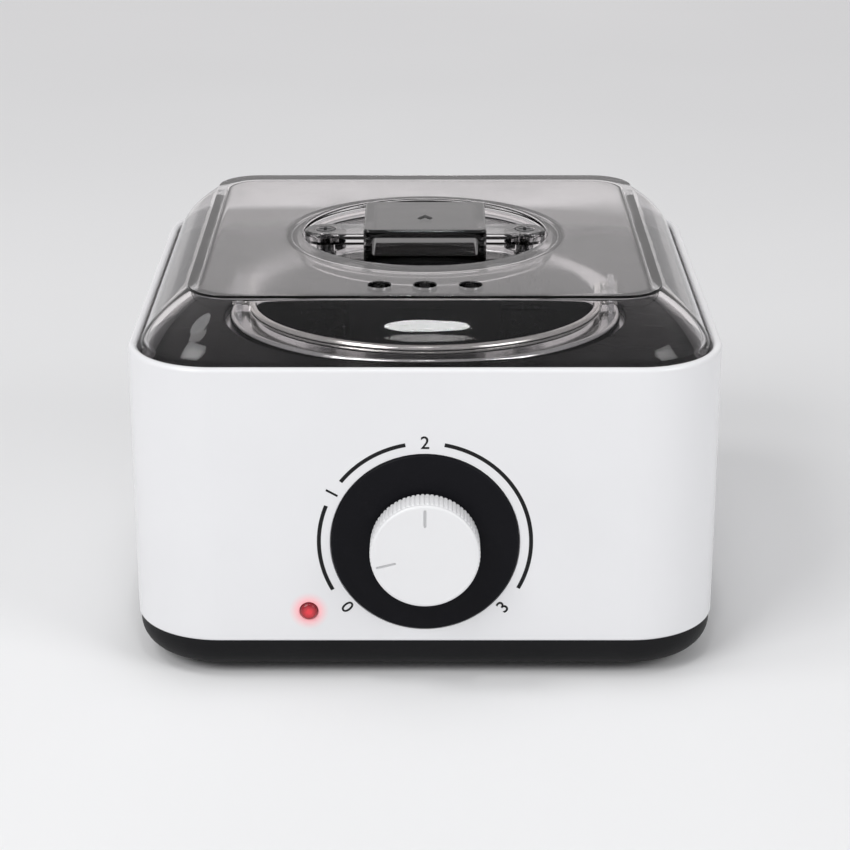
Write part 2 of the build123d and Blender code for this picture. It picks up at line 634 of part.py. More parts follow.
# Pot: a spun cup whose rim turns out and curls down
curl_inner_radius = pot_rim_radius - POT_CURL_THICK
with BuildPart() as wax_pot:
    with BuildSketch(Plane.XZ):
        with BuildLine():
            Polyline(
                (0, pot_bottom),
                (pot_radius, pot_bottom),
                (pot_radius, pot_top - POT_RIM_THICK),
                (curl_inner_radius, pot_top - POT_RIM_THICK),
                (curl_inner_radius, pot_top - POT_CURL_DROP),
                (pot_rim_radius, pot_top - POT_CURL_DROP),
                (pot_rim_radius, pot_top),
                (POT_INNER_RADIUS, pot_top),
                (POT_INNER_RADIUS, pot_bottom + POT_FLOOR),
                (0, pot_bottom + POT_FLOOR),
                close=True,
            )
        make_face()
    revolve(axis=Axis.Z)
    fillet(wax_pot.edges().group_by(Axis.Z)[0], POT_CORNER)
    fillet(wax_pot.edges().group_by(Axis.Z)[-1], POT_CURL_ROUND)

# Ears: two plates welded on the rim, outside the bail's bends
ear_inner = pot_radius + EAR_OUTSET
with BuildPart() as pot_ears:
    for side in (-1, 1):
        with BuildSketch(Plane.YZ.offset(side * (ear_inner + EAR_THICK / 2))):
            with BuildLine():
                Polyline(
                    (-EAR_RADIUS, bail_height),
                    (-EAR_FOOT / 2, pot_top),
                    (EAR_FOOT / 2, pot_top),
                    (EAR_RADIUS, bail_height),
                )
                CenterArc((0, bail_height), EAR_RADIUS, 0, 180)
            make_face()
            with Locations((0, bail_height)):
                Circle(BAIL_WIRE_RADIUS + PIVOT_GAP, mode=Mode.SUBTRACT)
        extrude(amount=EAR_THICK / 2, both=True)

# Bail: one bent wire, folded forward on the rim, whose ends turn in the ears
bail_end_x = ear_inner - EAR_SETBACK
bail_radius = bail_end_x - BAIL_BEND
with BuildPart() as pot_bail:
    with BuildLine(Plane.XY.offset(bail_height)):
        Line((-bail_end_x - BAIL_END, 0), (-bail_end_x, 0))
        CenterArc((-bail_end_x, -BAIL_BEND), BAIL_BEND, 90, -90)
        CenterArc((0, -BAIL_BEND), bail_radius, 180, 180)
        CenterArc((bail_end_x, -BAIL_BEND), BAIL_BEND, 180, -90)
        Line((bail_end_x, 0), (bail_end_x + BAIL_END, 0))
    with BuildSketch(Plane((-bail_end_x - BAIL_END, 0, bail_height), z_dir=(1, 0, 0))):
        Circle(BAIL_WIRE_RADIUS)
    sweep()

# Lid: a clear moulding with a skirt, bowed sloping walls, a flat top, a round recess and three steam holes
skirt_corner = CASING_CORNER - lid_inset
with BuildPart() as lid:
    for thickness, mode in ((0, Mode.ADD), (LID_WALL, Mode.SUBTRACT)):
        with BuildSketch(Plane.XY.offset(deck_top)):
            lid_outline(0, skirt_corner, thickness)
        extrude(amount=casing_top - deck_top, mode=mode)
        with BuildSketch(Plane.XY.offset(casing_top)):
            lid_outline(0, skirt_corner, thickness)
        with BuildSketch(Plane.XY.offset((casing_top + lid_top - thickness) / 2)):
            lid_outline(LID_BEVEL / 2 - LID_BOW, LID_BOW_CORNER, thickness)
        with BuildSketch(Plane.XY.offset(lid_top - thickness)):
            lid_outline(LID_BEVEL, LID_TOP_CORNER, thickness)
        loft(mode=mode)
    with BuildSketch(Plane.XY.offset(recess_floor - LID_WALL)):
        Circle(RECESS_RADIUS + LID_WALL)
    extrude(amount=RECESS_DEPTH + LID_WALL)
    with BuildSketch(Plane.XY.offset(recess_floor)):
        Circle(RECESS_RADIUS)
    extrude(amount=RECESS_DEPTH, mode=Mode.SUBTRACT)
    lid_top_arcs = lid.edges().filter_by(GeomType.CIRCLE).group_by(Axis.Z)[-1]
    fillet(lid_top_arcs.sort_by(SortBy.RADIUS)[-1], RECESS_ROUND)
    with BuildSketch(Plane.XY.offset(lid_top)):
        with Locations((0, -VENT_HOLE_FRONT)):
            with GridLocations(VENT_HOLE_PITCH, 0, 3, 1):
                Circle(VENT_HOLE_RADIUS)
    extrude(amount=-LID_WALL, mode=Mode.SUBTRACT)
    with BuildSketch(Plane.XY.offset(recess_floor)):
        with grip_screw_places:
            Circle(GRIP_SCREW_RADIUS + SEAT_GAP)
    extrude(amount=-LID_WALL, mode=Mode.SUBTRACT)

# Grip: a bar across the recess on two pads, with an open finger block in the middle
bar_top = recess_floor + BAR_RISE + BAR_THICK
with BuildPart() as lid_grip:
    with BuildSketch(Plane.XY.offset(recess_floor + BAR_RISE)):
        SlotCenterToCenter(GRIP_SCREW_SPAN, BAR_WIDTH)
    extrude(amount=BAR_THICK)
    fillet(lid_grip.edges().group_by(Axis.Z)[-1], GRIP_ROUND)
    with BuildSketch(Plane.XY.offset(recess_floor)):
        with grip_screw_places:
            Circle(BAR_WIDTH / 2)
    extrude(amount=BAR_RISE)
    with BuildSketch(Plane.XY.offset(recess_floor)):
        RectangleRounded(GRIP_WIDTH, GRIP_DEPTH, GRIP_CORNER)
    extrude(amount=GRIP_HEIGHT)
    fillet(lid_grip.edges().group_by(Axis.Z)[-1], GRIP_ROUND)
    with BuildSketch(Plane.XZ.offset(-GRIP_DEPTH / 2)):
        with Locations((0, recess_floor + GRIP_FLOOR)):
            RectangleRounded(
                GRIP_WIDTH - 2 * GRIP_SIDE,
                GRIP_HEIGHT - GRIP_TOP - GRIP_FLOOR,
                GRIP_WINDOW_ROUND,
                align=(Align.CENTER, Align.MIN),
            )
    extrude(amount=GRIP_DEPTH, mode=Mode.SUBTRACT)
    with BuildSketch(Plane.XY.offset(recess_floor)):
        with grip_screw_places:
            Circle(GRIP_SCREW_RADIUS + SEAT_GAP)
    extrude(amount=BAR_RISE + BAR_THICK, mode=Mode.SUBTRACT)
    with BuildSketch(Plane.XY.offset(bar_top)):
        with grip_screw_places:
            Circle(GRIP_SCREW_HEAD_RADIUS + SEAT_GAP)
    extrude(amount=-GRIP_SCREW_HEAD, mode=Mode.SUBTRACT)

with BuildPart() as grip_screws:
    with BuildSketch(Plane.XY.offset(bar_top)):
        with grip_screw_places:
            Circle(GRIP_SCREW_HEAD_RADIUS)
    extrude(amount=-GRIP_SCREW_HEAD)
    with BuildSketch(Plane.XY.offset(bar_top - GRIP_SCREW_HEAD)):
        with grip_screw_places:
            Circle(GRIP_SCREW_RADIUS)
    extrude(amount=recess_floor - LID_WALL - GRIP_NUT_THICK - bar_top + GRIP_SCREW_HEAD)

with BuildPart() as grip_nuts:
    with BuildSketch(Plane.XY.offset(recess_floor - LID_WALL)):
        with grip_screw_places:
            RegularPolygon(GRIP_NUT_FLATS / 2, 6, major_radius=False)
            Circle(GRIP_SCREW_RADIUS + SEAT_GAP, mode=Mode.SUBTRACT)
    extrude(amount=-GRIP_NUT_THICK)

pieces = {
    "outer_shell": outer_shell,
    "base_cover": base_cover,
    "base_screws": base_screws,
    "rubber_feet": rubber_feet,
    "top_deck": top_deck,
    "heating_well": heating_well,
    "well_screws": well_screws,
    "heater_band": heater_band,
    "band_screw": band_screw,
    "fuse_clip": fuse_clip,
    "thermal_fuse": thermal_fuse,
    "thermostat_body": thermostat_body,
    "thermostat_nut": thermostat_nut,
    "thermostat_shaft": thermostat_shaft,
    "dial_plate": dial_plate,
    "control_knob": control_knob,
    "indicator_lens": indicator_lens,
    "indicator_led": indicator_led,
    "lamp_board": lamp_board,
    "terminal_block": terminal_block,
    "terminal_screws": terminal_screws,
    "cord_gland": cord_gland,
    "gland_nut": gland_nut,
    "wax_pot": wax_pot,
    "pot_ears": pot_ears,
    "pot_bail": pot_bail,
    "lid": lid,
    "lid_grip": lid_grip,
    "grip_screws": grip_screws,
    "grip_nuts": grip_nuts,
}

os.makedirs("parts", exist_ok=True)
for name, piece in pieces.items():
    piece.part.label = name
    export_step(piece.part, f"parts/{name}.step")
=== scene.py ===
"""The looks of a square wax warmer: white casing, black base, lift-out pot and a clear lid with a bar grip.

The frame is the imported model's: the floor is z = 0, -Y is the front with the dial and +X is its right.
Sizes are written in millimetres, and every mesh is made in metres.
"""

from __future__ import annotations

import logging
import math
from dataclasses import dataclass, field
from enum import Enum
from functools import cache, reduce
from typing import Callable, Iterable, Sequence, Union

import bmesh
import bpy
from bpy.types import ID, Material, Node, NodeSocket, NodeTree, Object
from mathutils import Matrix, Vector


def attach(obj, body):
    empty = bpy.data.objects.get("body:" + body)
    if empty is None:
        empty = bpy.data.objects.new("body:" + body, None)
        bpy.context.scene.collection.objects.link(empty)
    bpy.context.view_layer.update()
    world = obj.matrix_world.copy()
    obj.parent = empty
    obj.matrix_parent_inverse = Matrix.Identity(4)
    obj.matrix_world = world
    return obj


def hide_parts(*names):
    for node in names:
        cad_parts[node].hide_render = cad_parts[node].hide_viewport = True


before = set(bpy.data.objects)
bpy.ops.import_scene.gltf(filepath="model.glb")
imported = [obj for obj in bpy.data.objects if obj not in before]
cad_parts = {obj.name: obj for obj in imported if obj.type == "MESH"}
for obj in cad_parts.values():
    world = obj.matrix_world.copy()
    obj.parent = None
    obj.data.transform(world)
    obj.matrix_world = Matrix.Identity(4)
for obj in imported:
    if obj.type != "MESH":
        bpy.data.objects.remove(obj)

LOG = logging.getLogger("wax_warmer")
MM = 0.001
SHARP = math.radians(32)
# Sizes that several pieces or finishes share, in millimetres
CASING_HALF = 83.0
LAMP_SPOT = (-32.5, -CASING_HALF, 21.4)
LENS_RADIUS = 2.4
POT_BORE, POT_FLOOR, POT_TOP = 51.5, 25.9, 86.9
LID_TOP = 108.5
HOLE_RADIUS, HOLE_PITCH, HOLE_FRONT = 3.1, 12.7, -55.7
# Which axes count where a distance is measured
LEVEL, FRONT, ALL = (1.0, 1.0, 0.0), (1.0, 0.0, 1.0), (1.0, 1.0, 1.0)
# The range that soft noise mostly keeps to
USUAL = (0.3, 0.7)

Colour = tuple[float, float, float]
Corner = tuple[float, float, float]
Span = tuple[float, float]
Ring = list[Vector]
Feed = Union[float, Sequence[float], NodeSocket]
Feeds = dict[Union[str, int], Feed]
Sockets = bpy.types.bpy_prop_collection


class Body(Enum):
    """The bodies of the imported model."""

    HOUSING = "housing"
    KNOB = "knob"
    LID = "lid"
    POT = "pot"
    BAIL = "bail"


class Lay(Enum):
    """The way in which a metal's fine marks run, as how many there are in a metre along each axis.

    The axes of spun metal are out from its middle, round it and up.
    """

    SPUN = (3800.0, 0.0, 3800.0)
    DRAWN = (80.0, 80.0, 4200.0)
    TUMBLED = (900.0, 900.0, 900.0)


class LampShape(Enum):
    """The outline of a studio lamp."""

    PANEL = "RECTANGLE"
    ROUND = "ELLIPSE"


class Plug(Enum):
    """What a socket of a node group carries."""

    NUMBER = "NodeSocketFloat"
    COUNT = "NodeSocketInt"
    COLOUR = "NodeSocketColor"
    VECTOR = "NodeSocketVector"
    SHAPE = "NodeSocketGeometry"
    FINISH = "NodeSocketMaterial"


class Use(Enum):
    """What a node group is used in."""

    SHADER = "ShaderNodeTree"
    SHAPE = "GeometryNodeTree"


# Points and rings


def facing(y: float, z: float) -> Matrix:
    """Gives the place on the casing's front or back whose third axis looks out of it.

    Args:
        y: where the face is; the front is negative.
        z: height of the place's origin.

    Returns:
        The matrix from the place to the frame, in millimetres.
    """
    out = math.copysign(1.0, y)
    turn = Matrix(((-out, 0, 0), (0, 0, 1), (0, out, 0))).transposed().to_4x4()
    return Matrix.Translation((0, y, z)) @ turn


def around(radius: float, turn: float, height: float = 0.0) -> Vector:
    """Gives the point at a radius, a turn and a height about the third axis."""
    return Vector((radius * math.cos(turn), radius * math.sin(turn), height))


def circle(radius: float, height: float, count: int) -> Ring:
    """Gives a ring of points about the third axis.

    Args:
        radius: the ring's radius; 0 gives a pole of one point.
        height: distance along the axis.
        count: number of points.

    Returns:
        The ring, counter-clockwise from the first axis.
    """
    if radius <= 0:
        return [Vector((0, 0, height))]
    return [around(radius, 2 * math.pi * i / count, height) for i in range(count)]


def rounded_square(half: float, corner: float, height: float, side: int, arc: int) -> Ring:
    """Gives a ring of points along a square with round corners.

    Args:
        half: half of the square's width.
        corner: radius of its corners.
        height: distance along the third axis.
        side: segments along each straight side, an even number.
        arc: segments round each corner.

    Returns:
        The ring, counter-clockwise from the middle of the right side.
    """
    reach = half - corner
    quarter = [Vector((half, reach * (2 * i / side - 1), height)) for i in range(side)]
    for i in range(arc):
        turn = math.pi / 2 * i / arc
        quarter.append(Vector((reach + corner * math.cos(turn), reach + corner * math.sin(turn), height)))
    ring = [Matrix.Rotation(math.pi / 2 * k, 3, "Z") @ p for k in range(4) for p in quarter]
    return ring[side // 2:] + ring[:side // 2]


def rounded(corners: Sequence[Corner], closed: bool = False, steps: int = 5, hold: float = 0.12) -> Ring:
    """Rounds the corners of a profile, and holds each straight run flat with a point beside each round.

    Args:
        corners: first and second coordinate and radius of each corner.
        closed: whether the last corner joins the first.
        steps: segments in each round.
        hold: distance of the holding points from the round.

    Returns:
        The profile's points.
    """
    points: Ring = []
    count = len(corners)
    for i, (first, second, radius) in enumerate(corners):
        here = Vector((first, second))
        if radius <= 0 or (not closed and i in (0, count - 1)):
            points.append(here)
            continue
        back = (Vector(corners[i - 1][:2]) - here).normalized()
        ahead = (Vector(corners[(i + 1) % count][:2]) - here).normalized()
        half_turn = back.angle(ahead) / 2
        reach = radius / math.tan(half_turn)
        middle = here + (back + ahead).normalized() * (radius / math.sin(half_turn))
        start, end = here + back * reach - middle, here + ahead * reach - middle
        points.append(middle + start + back * hold)
        for k in range(steps + 1):
            points.append(middle + start.normalized().slerp(end.normalized(), k / steps) * radius)
        points.append(middle + end + ahead * hold)
    return points


def slot_outline(length: float, width: float, middle: Vector, angle: float, steps: int = 8) -> Ring:
    """Gives the outline of a mark with round ends.

    Args:
        length: overall length.
        width: width.
        middle: the mark's middle.
        angle: direction of its length, in radians.
        steps: segments round each end.

    Returns:
        The outline's points.
    """
    radius, reach = width / 2, (length - width) / 2
    points = []
    for side, start in ((1, -math.pi / 2), (-1, math.pi / 2)):
        for i in range(steps + 1):
            turn = start + math.pi * i / steps
            points.append(Vector((side * reach + radius * math.cos(turn), radius * math.sin(turn))))
    return [middle + Matrix.Rotation(angle, 2) @ p for p in points]


def turned(profile: Iterable[Vector], count: int) -> list[Ring]:
    """Gives the rings of a profile of radius and height that turns about the third axis."""
    return [circle(p.x, p.y, count) for p in profile]


# Meshes


def stand(name: str, data: ID) -> Object:
    """Puts an object into the scene.

    Args:
        name: the object's name.
        data: its mesh, curve, light or camera.

    Returns:
        The object.
    """
    piece = bpy.data.objects.new(name, data)
    bpy.context.scene.collection.objects.link(piece)
    return piece


def evaluated(piece: Object) -> bpy.types.Mesh:
    """Gives a piece's final shape as a plain mesh."""
    return bpy.data.meshes.new_from_object(piece.evaluated_get(bpy.context.evaluated_depsgraph_get()))


def freeze(piece: Object) -> Object:
    """Turns a piece and its modifiers into a plain mesh.

    Args:
        piece: the piece.

    Returns:
        The same piece.
    """
    data = evaluated(piece)
    piece.modifiers.clear()
    piece.data = data
    return piece


def shade(piece: Object) -> Object:
    """Shades a mesh smooth, apart from its sharp edges.

    Args:
        piece: the piece.

    Returns:
        The same piece.
    """
    mesh = bmesh.new()
    mesh.from_mesh(piece.data)
    for face in mesh.faces:
        face.smooth = True
    for edge in mesh.edges:
        edge.smooth = len(edge.link_faces) == 2 and edge.calc_face_angle() < SHARP
    mesh.to_mesh(piece.data)
    mesh.free()
    return piece


def make_piece(name: str, mesh: bmesh.types.BMesh) -> Object:
    """Makes an object at the origin from a closed mesh, with its faces turned outwards.

    Args:
        name: the piece's name.
        mesh: the mesh in metres, which is freed.

    Returns:
        The shaded object.
    """
    bmesh.ops.recalc_face_normals(mesh, faces=mesh.faces)
    data = bpy.data.meshes.new(name)
    mesh.to_mesh(data)
    mesh.free()
    return shade(stand(name, data))


def skin(name: str, rings: Sequence[Ring], place: Matrix = Matrix.Identity(4), closed: bool = False) -> Object:
    """Skins a row of rings, where a ring of one point closes an end.

    Args:
        name: the piece's name.
        rings: rings of equal count, or poles, in millimetres.
        place: where the rings stand.
        closed: whether the last ring joins the first.

    Returns:
        The new piece.
    """
    mesh = bmesh.new()
    loops = [[mesh.verts.new(place @ p * MM) for p in ring] for ring in rings]
    pairs = list(zip(loops, loops[1:] + loops[:1]))
    for low, high in pairs if closed else pairs[:-1]:
        count = max(len(low), len(high))
        for i in range(count):
            j = (i + 1) % count
            face = (low[i % len(low)], low[j % len(low)], high[j % len(high)], high[i % len(high)])
            mesh.faces.new(list(dict.fromkeys(face)))
    return make_piece(name, mesh)


def plate(name: str, outline: Ring, low: float, high: float, place: Matrix) -> Object:
    """Raises a flat outline to a thin plate.

    Args:
        name: the piece's name.
        outline: points of the outline, in millimetres.
        low: height of the plate's back.
        high: height of its front.
        place: where the outline lies.

    Returns:
        The new piece.
    """
    mesh = bmesh.new()
    back, front = ([mesh.verts.new(place @ Vector((p.x, p.y, h)) * MM) for p in outline] for h in (low, high))
    mesh.faces.new(back)
    mesh.faces.new(front)
    for i in range(len(outline)):
        j = (i + 1) % len(outline)
        mesh.faces.new((back[i], back[j], front[j], front[i]))
    return make_piece(name, mesh)


def cut(piece: Object, cutter: Object) -> None:
    """Cuts one closed mesh out of another, and removes the cutter.

    Args:
        piece: the mesh that is cut.
        cutter: the mesh that is taken out of it.
    """
    change = piece.modifiers.new("cut", "BOOLEAN")
    change.operation, change.solver, change.object = "DIFFERENCE", "EXACT", cutter
    freeze(piece)
    bpy.data.objects.remove(cutter)
    shade(piece)


def join(name: str, pieces: Iterable[Object]) -> Object:
    """Joins meshes at the origin into one piece.

    Args:
        name: the joined piece's name.
        pieces: the pieces, which are removed.

    Returns:
        The joined piece.
    """
    mesh = bmesh.new()
    for piece in pieces:
        mesh.from_mesh(piece.data)
        bpy.data.objects.remove(piece)
    return make_piece(name, mesh)


# Node trees


def opaque(colour: Feed) -> Feed:
    """Adds a full alpha to a plain colour."""
    return (*colour, 1.0) if isinstance(colour, tuple) else colour


class Net:
    """A node tree, with short calls for the nodes that it is built of."""

    def __init__(self, tree: NodeTree) -> None:
        """Takes the tree that the nodes go into."""
        self.tree = tree

    def feed(self, node: Node, feeds: Feeds) -> None:
        """Sets or links a node's inputs.

        Args:
            node: the node.
            feeds: a value or another node's socket for each input.
        """
        for key, value in feeds.items():
            if isinstance(value, NodeSocket):
                self.tree.links.new(value, node.inputs[key])
            else:
                node.inputs[key].default_value = value

    def put(self, kind: str, feeds: Feeds | None = None, **settings: object) -> Sockets:
        """Adds a node.

        Args:
            kind: the node's type.
            feeds: a value or another node's socket for each input.
            **settings: the node's own properties.

        Returns:
            The node's outputs.
        """
        node = self.tree.nodes.new(kind)
        for key, value in settings.items():
            setattr(node, key, value)
        self.feed(node, feeds or {})
        return node.outputs

    def effect(self, build: Callable[[], NodeTree], **feeds: Feed) -> Sockets:
        """Places a shared effect and gives its outputs."""
        return self.put("ShaderNodeGroup", feeds, node_tree=build())

    def mix(self, share: Feed, first: Feed, second: Feed) -> NodeSocket:
        """Mixes a share of the second colour into the first."""
        return self.put("ShaderNodeMix", {0: share, 6: opaque(first), 7: opaque(second)}, data_type="RGBA")[2]

    def tint(self, value: Feed, colour: Feed) -> NodeSocket:
        """Scales a colour's brightness."""
        return self.put("ShaderNodeHueSaturation", {"Value": value, "Color": opaque(colour)})[0]

    def remap(self, value: Feed, old: Span, new: tuple[Feed, Feed] = (0.0, 1.0)) -> NodeSocket:
        """Maps a value from one range to another, held at the ends."""
        feeds = {"Value": value, "From Min": old[0], "From Max": old[1], "To Min": new[0], "To Max": new[1]}
        return self.put("ShaderNodeMapRange", feeds)[0]

    def ramp(self, value: Feed, start: float, stop: float) -> NodeSocket:
        """Rises from 0 to 1 between two lengths in millimetres."""
        return self.remap(value, (start * MM, stop * MM))

    def reckon(self, operation: str, first: Feed, second: Feed = 0.0, clamp: bool = False) -> NodeSocket:
        """Does one step of arithmetic."""
        return self.put("ShaderNodeMath", {0: first, 1: second}, operation=operation, use_clamp=clamp)[0]

    def times(self, *values: Feed) -> Feed:
        """Multiplies several values."""
        return reduce(lambda one, other: self.reckon("MULTIPLY", one, other), values)

    def most(self, *values: Feed) -> Feed:
        """Gives the largest of several values."""
        return reduce(lambda one, other: self.reckon("MAXIMUM", one, other), values)

    def spots(self) -> NodeSocket:
        """Gives the coordinates of the piece itself."""
        return self.put("ShaderNodeTexCoord")["Object"]

    def axes(self) -> Sockets:
        """Gives the coordinates of the piece itself, axis by axis."""
        return self.put("ShaderNodeSeparateXYZ", {0: self.spots()})

    def outward(self) -> Sockets:
        """Gives how far a face looks along each axis."""
        return self.put("ShaderNodeSeparateXYZ", {0: self.put("ShaderNodeNewGeometry")["Normal"]})

    def noise(self, scale: Feed, detail: float, where: NodeSocket | None = None) -> NodeSocket:
        """Gives soft noise about 0.5, with its features counted for each metre."""
        where = self.spots() if where is None else where
        return self.put("ShaderNodeTexNoise", {"Vector": where, "Scale": scale, "Detail": detail})[0]

    def clouded(self, colour: Colour, scale: float, detail: float, sway: float) -> NodeSocket:
        """Gives a colour whose brightness sways softly."""
        return self.tint(self.remap(self.noise(scale, detail), USUAL, (1 - sway, 1 + sway)), colour)

    def stretched(self, scale: Corner, turn: Corner = (0.0, 0.0, 0.0)) -> NodeSocket:
        """Gives the piece's coordinates, turned and stretched."""
        return self.put("ShaderNodeMapping", {"Vector": self.spots(), "Rotation": turn, "Scale": scale})[0]

    def bump(self, strength: Feed, distance: float, height: Feed) -> NodeSocket:
        """Turns a height into a normal, with its distance in millimetres."""
        return self.put("ShaderNodeBump", {"Strength": strength, "Distance": distance * MM, "Height": height})[0]

    def out_from(self, spot: Corner = (0.0, 0.0, 0.0), across: Corner = LEVEL) -> NodeSocket:
        """Gives the distance from a spot, or from a line through it.

        Args:
            spot: the spot, in millimetres.
            across: 1 for each axis that counts; the line runs along the others.

        Returns:
            The distance, in metres.
        """
        here = self.put("ShaderNodeVectorMath", {0: self.spots(), 1: across}, operation="MULTIPLY")[0]
        middle = [a * b * MM for a, b in zip(spot, across)]
        return self.put("ShaderNodeVectorMath", {0: here, 1: middle}, operation="DISTANCE")["Value"]


def new_group(
    name: str, use: Use, takes: dict[str, Plug], gives: dict[str, Plug]
) -> tuple[Net, Sockets, Callable[[Feeds], NodeTree]]:
    """Starts a node group with named sockets.

    Args:
        name: the group's name.
        use: what it is used in.
        takes: what each input carries.
        gives: what each output carries.

    Returns:
        The group's net, its given values, and the call that feeds its outputs and gives its tree.
    """
    tree = bpy.data.node_groups.new(name, use.value)
    for way, plugs in (("INPUT", takes), ("OUTPUT", gives)):
        for label, plug in plugs.items():
            tree.interface.new_socket(label, in_out=way, socket_type=plug.value)
    net, outer = Net(tree), tree.nodes.new("NodeGroupOutput")

    def finish(feeds: Feeds) -> NodeTree:
        """Feeds the group's outputs and gives its tree."""
        net.feed(outer, feeds)
        return tree

    return net, tree.nodes.new("NodeGroupInput").outputs, finish


# Effects that several finishes share, each built once


def uneven(net: Net, given: Sockets, *patches: NodeSocket) -> NodeSocket:
    """Makes the given gloss uneven.

    Args:
        net: the effect's net.
        given: the effect's inputs, with the gloss and its spread.
        *patches: noises about 0.5.

    Returns:
        The uneven gloss.
    """
    centred = [net.reckon("SUBTRACT", patch, 0.5) for patch in patches]
    change = net.times(reduce(lambda one, other: net.reckon("ADD", one, other), centred), given["Spread"])
    return net.reckon("ADD", given["Gloss"], change, clamp=True)


@cache
def moulded_skin() -> NodeTree:
    """Builds the skin of a moulding: tone that wanders, uneven gloss and a fine grain.

    Returns:
        The effect.
    """
    takes = {"Tone": Plug.COLOUR} | dict.fromkeys(("Drift", "Gloss", "Spread", "Grain", "Depth"), Plug.NUMBER)
    gives = {"Tone": Plug.COLOUR, "Gloss": Plug.NUMBER, "Normal": Plug.VECTOR}
    net, given, finish = new_group("moulded_skin", Use.SHADER, takes, gives)
    low, high = (net.reckon(way, 1.0, given["Drift"]) for way in ("SUBTRACT", "ADD"))
    return finish({
        "Tone": net.tint(net.remap(net.noise(26.0, 4.0), USUAL, (low, high)), given["Tone"]),
        "Gloss": uneven(net, given, net.noise(70.0, 5.0)),
        "Normal": net.bump(given["Depth"], 0.1, net.noise(given["Grain"], 2.0)),
    })


@cache
def tool_marks() -> NodeTree:
    """Builds the fine lines of worked metal along one coordinate, with uneven gloss.

    Returns:
        The effect.
    """
    takes = {"Where": Plug.VECTOR} | dict.fromkeys(("Gloss", "Spread", "Depth"), Plug.NUMBER)
    gives = {"Tone": Plug.NUMBER, "Gloss": Plug.NUMBER, "Normal": Plug.VECTOR}
    net, given, finish = new_group("tool_marks", Use.SHADER, takes, gives)
    fine, smear = net.noise(1.0, 3.0, given["Where"]), net.noise(55.0, 4.0)
    return finish({
        "Tone": net.remap(smear, USUAL, (0.9, 1.06)),
        "Gloss": uneven(net, given, fine, smear),
        "Normal": net.bump(given["Depth"], 0.05, fine),
    })


@cache
def settled_dust() -> NodeTree:
    """Builds a mask of fine dust that lies on faces that look up.

    Returns:
        The effect.
    """
    net, given, finish = new_group("settled_dust", Use.SHADER, {"Amount": Plug.NUMBER}, {"Mask": Plug.NUMBER})
    specks = net.remap(net.noise(2600.0, 1.0), (0.66, 0.74))
    drifts = net.remap(net.noise(45.0, 4.0), (0.35, 0.75), (0.15, 1.0))
    lying = net.remap(net.outward()["Z"], (0.3, 0.95))
    return finish({"Mask": net.times(specks, drifts, lying, given["Amount"])})


@cache
def hair_marks() -> NodeTree:
    """Builds a mask of hair-fine wiping marks that cross each other.

    Returns:
        The effect.
    """
    net, given, finish = new_group("hair_marks", Use.SHADER, {"Amount": Plug.NUMBER}, {"Mask": Plug.NUMBER})
    strands = []
    for turn, along, across in ((0.5, 60.0, 2400.0), (-0.9, 70.0, 2100.0)):
        where = net.stretched((along, across, along), (0.3, 0.2, turn))
        strands.append(net.remap(net.noise(1.0, 1.0, where), (0.68, 0.75)))
    patch = net.remap(net.noise(35.0, 2.0), (0.4, 0.65))
    return finish({"Mask": net.times(net.most(*strands), patch, given["Amount"])})


# Finishes


@dataclass(frozen=True)
class Finish:
    """A finish, with hooks that the special ones change."""

    name: str
    colour: Colour
    gloss: float
    marks: float = 0.0

    def tone(self, net: Net, tone: NodeSocket, shader: Node) -> NodeSocket:
        """Keeps the plain tone."""
        return tone

    def rough(self, net: Net, gloss: Feed) -> Feed:
        """Adds wiping marks to the roughness, where there are any.

        Args:
            net: the material's net.
            gloss: the plain roughness.

        Returns:
            The roughness.
        """
        if not self.marks:
            return gloss
        return net.reckon("ADD", gloss, net.effect(hair_marks, Amount=self.marks)["Mask"])

    def fill(self, net: Net, shader: Node) -> None:
        """Feeds the shader, in each kind of finish its own way."""
        raise NotImplementedError

    def material(self) -> Material:
        """Builds the material.

        Returns:
            The material.
        """
        material = bpy.data.materials.new("finish_" + self.name)
        material.use_nodes = True
        net = Net(material.node_tree)
        self.fill(net, net.tree.nodes["Principled BSDF"])
        return material


@dataclass(frozen=True)
class Plastic(Finish):
    """A moulded plastic, resin or rubber."""

    drift: float = 0.03
    spread: float = 0.08
    grain: float = 900.0
    depth: float = 0.12
    dust: float = 0.0
    dust_colour: Colour = (0.42, 0.41, 0.40)
    shine: float = 0.5

    def fill(self, net: Net, shader: Node) -> None:
        """Feeds the shader with the moulding's skin, and with dust where it has any.

        Args:
            net: the material's net.
            shader: its shader.
        """
        made = net.effect(
            moulded_skin, Tone=opaque(self.colour), Drift=self.drift, Gloss=self.gloss, Spread=self.spread,
            Grain=self.grain, Depth=self.depth,
        )
        tone, gloss = made["Tone"], self.rough(net, made["Gloss"])
        if self.dust:
            dust = net.effect(settled_dust, Amount=self.dust)["Mask"]
            tone, gloss = net.mix(dust, tone, self.dust_colour), net.reckon("ADD", gloss, dust)
        net.feed(shader, {
            "Base Color": self.tone(net, tone, shader), "Roughness": gloss, "Normal": made["Normal"],
            "Specular IOR Level": self.shine,
        })


